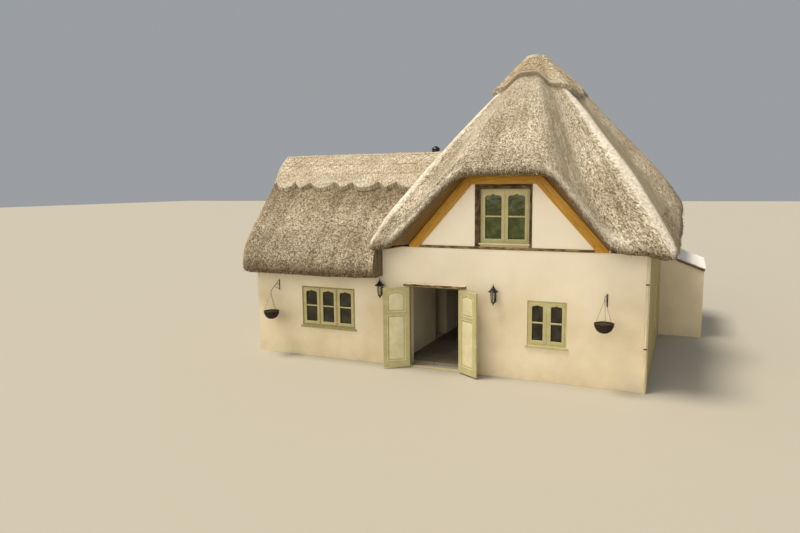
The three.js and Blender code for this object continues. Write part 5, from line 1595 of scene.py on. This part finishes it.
def lantern(side, x, low):
    """One lantern, its ironwork and its panes."""
    y = from_front(-LANTERN_OUT)
    wall = from_front(-GAP)
    body_low, body_high = low + 0.06, low + BODY_HIGH

    # The drop under the body, then the roof and its finial from the body's top up, as (radius, height)
    drop = [(0.004, low), (0.013, low + 0.008), (0.016, low + 0.018), (0.01, low + 0.028),
            (0.018, low + 0.036), (0.03, low + 0.05), (BODY_FOOT + 0.006, body_low),
            (BODY_FOOT + 0.006, body_low + 0.012), (0.02, body_low + 0.013)]
    roof = [(0.02, -0.012), (BODY_TOP + 0.006, -0.01), (BODY_TOP + 0.01, -0.002), (ROOF_OUT, 0),
            (ROOF_OUT - 0.004, 0.011), (0.09, 0.03), (0.062, 0.056), (0.04, 0.09), (0.032, 0.094)]
    finial = [(0.032, 0.088), (0.036, 0.094), (0.032, 0.1), (0.022, 0.106), (0.025, 0.116), (0.015, 0.13),
              (0.009, 0.138), (0.012, 0.146), (0.008, 0.155), (0.002, LANTERN_HIGH - BODY_HIGH)]

    # The arm that carries the lantern and the curl above it, as (y, height)
    arm = [(wall - 0.006, low + 0.09), (wall - 0.05, low + 0.068), (wall - 0.1, low + 0.04),
           (y + 0.02, low + 0.03), (y, low + 0.045)]
    curl = [(wall - 0.006, low + 0.22), (wall - 0.03, low + 0.25), (wall - 0.055, low + 0.235),
            (wall - 0.05, low + 0.2), (wall - 0.03, low + 0.195)]
    iron = [
        lump(x - 0.03, x + 0.03, wall - 0.012, wall, low + 0.06, low + 0.25),
        lathe(drop, x, y, 18),
        lathe([(radius, body_high + z) for radius, z in roof], x, y, 6, SIX),
        lathe([(radius, body_high + z) for radius, z in finial], x, y, 18),
        tube([(x, *at) for at in arm], 0.008, 8),
        tube([(x, *at) for at in curl], 0.005, 6),
    ]
    for k in range(6):
        angle = k * math.pi / 3 + SIX
        across = (math.cos(angle), math.sin(angle))
        bar = [(x + radius * across[0], y + radius * across[1], z)
               for radius, z in ((BODY_FOOT, body_low + 0.008), (BODY_TOP, body_high - 0.004))]
        iron.append(tube(bar, 0.0075, 6))

    # Six panes in one tapering sleeve, and the lamp
    glass_low, glass_high = body_low + 0.012, body_high - 0.01
    glass = lathe([(BODY_FOOT - 0.004, glass_low), (BODY_FOOT - 0.001, glass_low),
                   (BODY_TOP - 0.001, glass_high), (BODY_TOP - 0.004, glass_high)], x, y, 6, SIX)
    candle = lathe([(0.011, body_low + 0.01), (0.011, body_low + 0.09), (0.016, body_low + 0.1),
                    (0.02, body_low + 0.12), (0.012, body_low + 0.145), (0.002, body_low + 0.155)], x, y, 16)
    ironwork = joined(f"lantern_{side}_ironwork", iron, black_iron)
    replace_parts(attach(ironwork, "house"), f"lantern_{side}")
    glazing = joined(f"lantern_{side}_panes", [glass], lantern_glass)
    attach(glazing, "house")
    lamp = joined(f"lantern_{side}_lamp", [candle], lamp_white)
    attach(lamp, "house")


LANTERNS = {"left": (-3.07, 1.68), "right": (-0.23, 1.69)}  # the axis and the foot of each
for side, (x, low) in LANTERNS.items():
    lantern(side, x, low)


# Hanging baskets
# Wrought brackets screwed to the wall, each holding a wire basket with a coir liner on three chains.
# The baskets are filled with compost and have no plants.

# Coir: dark brown husk fibre pressed into a bowl, dull and hairy.
coir, tree, shader = new_finish("pressed_coir")
place = add_node(tree, "ShaderNodeTexCoord").outputs["Object"]
husk = add_node(tree, "ShaderNodeTexNoise", {"Scale": 1, "Detail": 6, "Roughness": 0.7, "Distortion": 1.5}, {
    "Vector": add_node(tree, "ShaderNodeMapping", {"Scale": (60, 60, 30)}, {"Vector": place})})
husk_colour = add_node(tree, "ShaderNodeValToRGB", {"stops": [
    (0.35, "#140C07"), (0.5, "#2C1B10"), (0.7, "#5A3D22")]}, {"Fac": husk})
husk_bump = add_node(tree, "ShaderNodeBump", {"Strength": 0.8, "Distance": 0.006}, {"Height": husk})
set_up(shader, {"Roughness": 0.95}, {"Base Color": husk_colour, "Normal": husk_bump})

BOWL = 0.2
BOWL_DEEP = 0.21
BOWL_SIDES = 48
WIRE = 0.0028
LINK = {"apart": 0.022, "half_long": 0.014, "half_wide": 0.005, "wire": 0.0018}
PLATE_HIGH = 0.3


def scroll(centre, radius, start, stop, along):
    """A flat spiral in the plane of the bracket, drawn in to about a third of its radius."""
    points = []
    for t in np.linspace(0, 1, 12):
        reach, angle = mix(radius, radius * 0.35, t), mix(start, stop, t)
        y, z = centre[1] + reach * math.cos(angle) * along, centre[2] + reach * math.sin(angle)
        points.append((centre[0], y, z))
    return points


def bowl_radius(share):
    """The bowl's radius at a share of its depth, 0 at the rim."""
    return BOWL * math.sqrt(max(0, 1 - share ** 2))


def hanging_basket(side, x, plate_low, tip_out, tip_z, rim):
    """One bracket and its basket: the foot of the wall plate, the bracket's tip and the basket's rim."""
    wall = from_front(-GAP)
    y = from_front(-tip_out)
    plate_top = plate_low + PLATE_HIGH
    arm_top, stay_foot = plate_top - 0.02, plate_low + 0.03
    half_way = (x, mix(wall, y, 0.55), mix(arm_top, tip_z, 0.55))

    # The bracket: a plate with a ball on top, the arm, the stay that props it, its hook and a scroll
    ball = [(0.002, plate_top - 0.013), (0.012, plate_top - 0.008), (0.012, plate_top - 0.004),
            (0.002, plate_top)]
    arm = [(x, wall - 0.006, arm_top), (x, mix(wall, y, 0.5), mix(arm_top, tip_z, 0.5) + 0.012),
           (x, y, tip_z)]
    stay = [(x, wall - 0.006, stay_foot),
            (x, mix(wall, half_way[1], 0.5), mix(stay_foot, half_way[2], 0.42)), half_way]
    hook = [(0, 0.003), (-0.012, -0.012), (-0.012, -0.032), (0, -0.045), (0.01, -0.036)]
    curl = scroll((x, mix(wall, y, 0.2), mix(plate_low, plate_top, 0.55)), 0.045, 0, 2 * math.pi, -1)
    iron = [
        lump(x - 0.012, x + 0.012, wall - 0.007, wall, plate_low + 0.012, plate_top - 0.012),
        lathe(ball, x, wall - 0.008, 12),
        tube(arm, 0.007, 8),
        tube(stay, 0.006, 8),
        tube([(x, y + out, tip_z + up) for out, up in hook], 0.0045, 8),
        tube(curl, 0.004, 6),
    ]
    for z in (plate_low + 0.04, plate_top - 0.04):
        iron.append(lathe([(0.001, z - 0.006), (0.006, z - 0.003), (0.006, z + 0.003), (0.001, z + 0.006)],
                          x, wall - 0.008, 8))
    bracket = joined(f"basket_bracket_{side}_wrought", iron, black_iron)
    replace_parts(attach(bracket, "house"), f"basket_bracket_{side}")

    # The coir bowl from its foot up to its rolled rim, and the compost in it
    rings = [level_ring(x, y, rim - BOWL_DEEP * t + 0.004, bowl_radius(t) - 0.006, BOWL_SIDES)
             for t in np.linspace(1, 0, 14)]
    for radius, z in ((BOWL - 0.008, rim + 0.012), (BOWL - 0.02, rim + 0.012), (BOWL - 0.026, rim - 0.018),
                      (0.12, rim - 0.004), (0.06, rim + 0.002), (0.01, rim + 0.003)):
        rings.append(level_ring(x, y, z, radius, BOWL_SIDES))
    rings = hand_dressed(np.array(rings), [(0.09, 0.004), (0.03, 0.003)])
    around = np.linspace(0, 2 * math.pi * BOWL, BOWL_SIDES, endpoint=False)
    liner_points, liner_faces, liner_uv = roll_out(rings, around)
    liner = new_piece(f"basket_{side}_liner", liner_points, liner_faces, coir, liner_uv)
    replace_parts(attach(liner, "house"), f"basket_{side}")

    # Wire hoops, the thickest at the rim, and ribs that turn a little as they run down
    wires = []
    for share in (0, 0.3, 0.6, 0.85):
        radius = bowl_radius(share)
        loop = [(x + radius * math.cos(a), y + radius * math.sin(a), rim - BOWL_DEEP * share + 0.006)
                for a in np.linspace(0, 2 * math.pi, 33)]
        wires.append(tube(loop, WIRE if share else 2 * WIRE, 6))
    for angle in np.linspace(0, 2 * math.pi, 12, endpoint=False):
        rib = []
        for t in np.linspace(0, 0.98, 9):
            radius, twisted = bowl_radius(t), angle + 0.5 * t
            rib.append((x + radius * math.cos(twisted), y + radius * math.sin(twisted),
                        rim - BOWL_DEEP * t + 0.004))
        wires.append(tube(rib, WIRE, 5))

    # Three chains of oval links, each turned across the one before, and the ring they hang from
    knot = Vector((x, y, tip_z - 0.055))
    for turn in (0.25, 0.5833, 0.9167):
        angle = 2 * math.pi * turn
        hold = BOWL - 0.005
        foot = Vector((x + hold * math.cos(angle), y + hold * math.sin(angle), rim + 0.006))
        links = int((knot - foot).length / LINK["apart"])
        for i in range(links):
            a, b = foot.lerp(knot, i / links), foot.lerp(knot, (i + 1) / links)
            way = (b - a).normalized()
            side_way = way.cross(Vector((0, 0, 1)) if i % 2 else Vector((1, 0, 0))).normalized()
            long_way, wide_way = way * LINK["half_long"], side_way * LINK["half_wide"]
            oval = [(a + b) / 2 + long_way * math.cos(t) + wide_way * math.sin(t)
                    for t in np.linspace(0, 2 * math.pi, 9)]
            wires.append(tube(oval, LINK["wire"], 4))
    eye = [(x + 0.012 * math.cos(t), y, tip_z - 0.052 + 0.012 * math.sin(t))
           for t in np.linspace(0, 2 * math.pi, 13)]
    wires.append(tube(eye, 0.0025, 6))
    basket_wire = joined(f"basket_{side}_wire_and_chains", wires, black_iron)
    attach(basket_wire, "house")


BASKETS = {
    "left": {"x": -6.09, "plate_low": 1.68, "tip_out": 0.4, "tip_z": 1.715, "rim": 1.19},
    "right": {"x": 2.22, "plate_low": 1.78, "tip_out": 0.48, "tip_z": 2.085, "rim": 1.53},
}
for side, sizes in BASKETS.items():
    hanging_basket(side, **sizes)


# Corner pipe and flue
# A round downpipe in cream gloss on two clips at the right corner, and a black stove flue with a
# cowl that comes up through the wing's roof.

# Cream gloss over steel: smooth, a little chalky, with grime run down from the clips.
cream_gloss, tree, shader = new_finish("cream_gloss_pipe")
place = add_node(tree, "ShaderNodeTexCoord").outputs["Object"]
runs = add_node(tree, "ShaderNodeTexNoise", {"Scale": 1, "Detail": 4}, {
    "Vector": add_node(tree, "ShaderNodeMapping", {"Scale": (60, 60, 2.5)}, {"Vector": place})})
cream_colour = add_node(tree, "ShaderNodeValToRGB", {"stops": [
    (0.35, "#C9BC94"), (0.6, "#E8DFC2")]}, {"Fac": runs})
set_up(shader, {"Roughness": 0.3}, {"Base Color": cream_colour})

pipe_low, pipe_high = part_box("corner_pipe")
PIPE = 0.026
SLEEVE = PIPE + 0.005
SLEEVE_FEET = (0.9, 2.26)
CLIPS = (0.96, 2.32)
CLIP_HALF_WIDE, CLIP_HALF_HIGH = 0.032, 0.014
pipe_x, pipe_y = 3.01, from_front(-0.034)
lengths = [(PIPE, pipe_low.z)]
for foot in SLEEVE_FEET:
    lengths += [(PIPE, foot), (SLEEVE, foot + 0.002), (SLEEVE, foot + 0.09), (PIPE, foot + 0.092)]
lengths.append((PIPE, pipe_high.z))
downpipe = joined("corner_pipe_lengths", [lathe(lengths, pipe_x, pipe_y, 24)], cream_gloss)
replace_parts(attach(downpipe, "house"), "corner_pipe")
clips = []
for z in CLIPS:
    clips.append(lathe([(PIPE + 0.004, z - CLIP_HALF_HIGH), (PIPE + 0.009, z - 0.013),
                        (PIPE + 0.009, z + 0.013), (PIPE + 0.004, z + CLIP_HALF_HIGH)], pipe_x, pipe_y, 24))
    clips.append(lump(pipe_x - CLIP_HALF_WIDE, pipe_x + CLIP_HALF_WIDE, from_front(-0.009), from_front(-GAP),
                      z - CLIP_HALF_HIGH, z + CLIP_HALF_HIGH))
pipe_clips = joined("corner_pipe_clips", clips, black_iron)
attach(pipe_clips, "house")

FLUE_TOP = 5.26
BAND = 0.008
radius = FLUE["radius"]
stack = [(radius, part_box("flue")[0].z - FLUE_TOP), (radius, -0.08), (radius + BAND, -0.078),
         (radius + BAND, -0.03), (radius, -0.028), (radius, 0)]
cowl = [(radius, -0.004), (0.112, 0), (0.115, 0.01), (0.11, 0.012), (0.11, 0.15), (0.115, 0.152),
        (0.125, 0.165), (0.122, 0.175), (0.09, 0.205), (0.05, 0.235), (0.02, 0.248), (0.004, 0.25)]
turned = [lathe([(out, FLUE_TOP + z) for out, z in profile], FLUE["x"], FLUE["y"], 32)
          for profile in (stack, cowl)]
flue_pipe = joined("flue_and_cowl", turned, black_iron)
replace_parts(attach(flue_pipe, "house"), "flue")
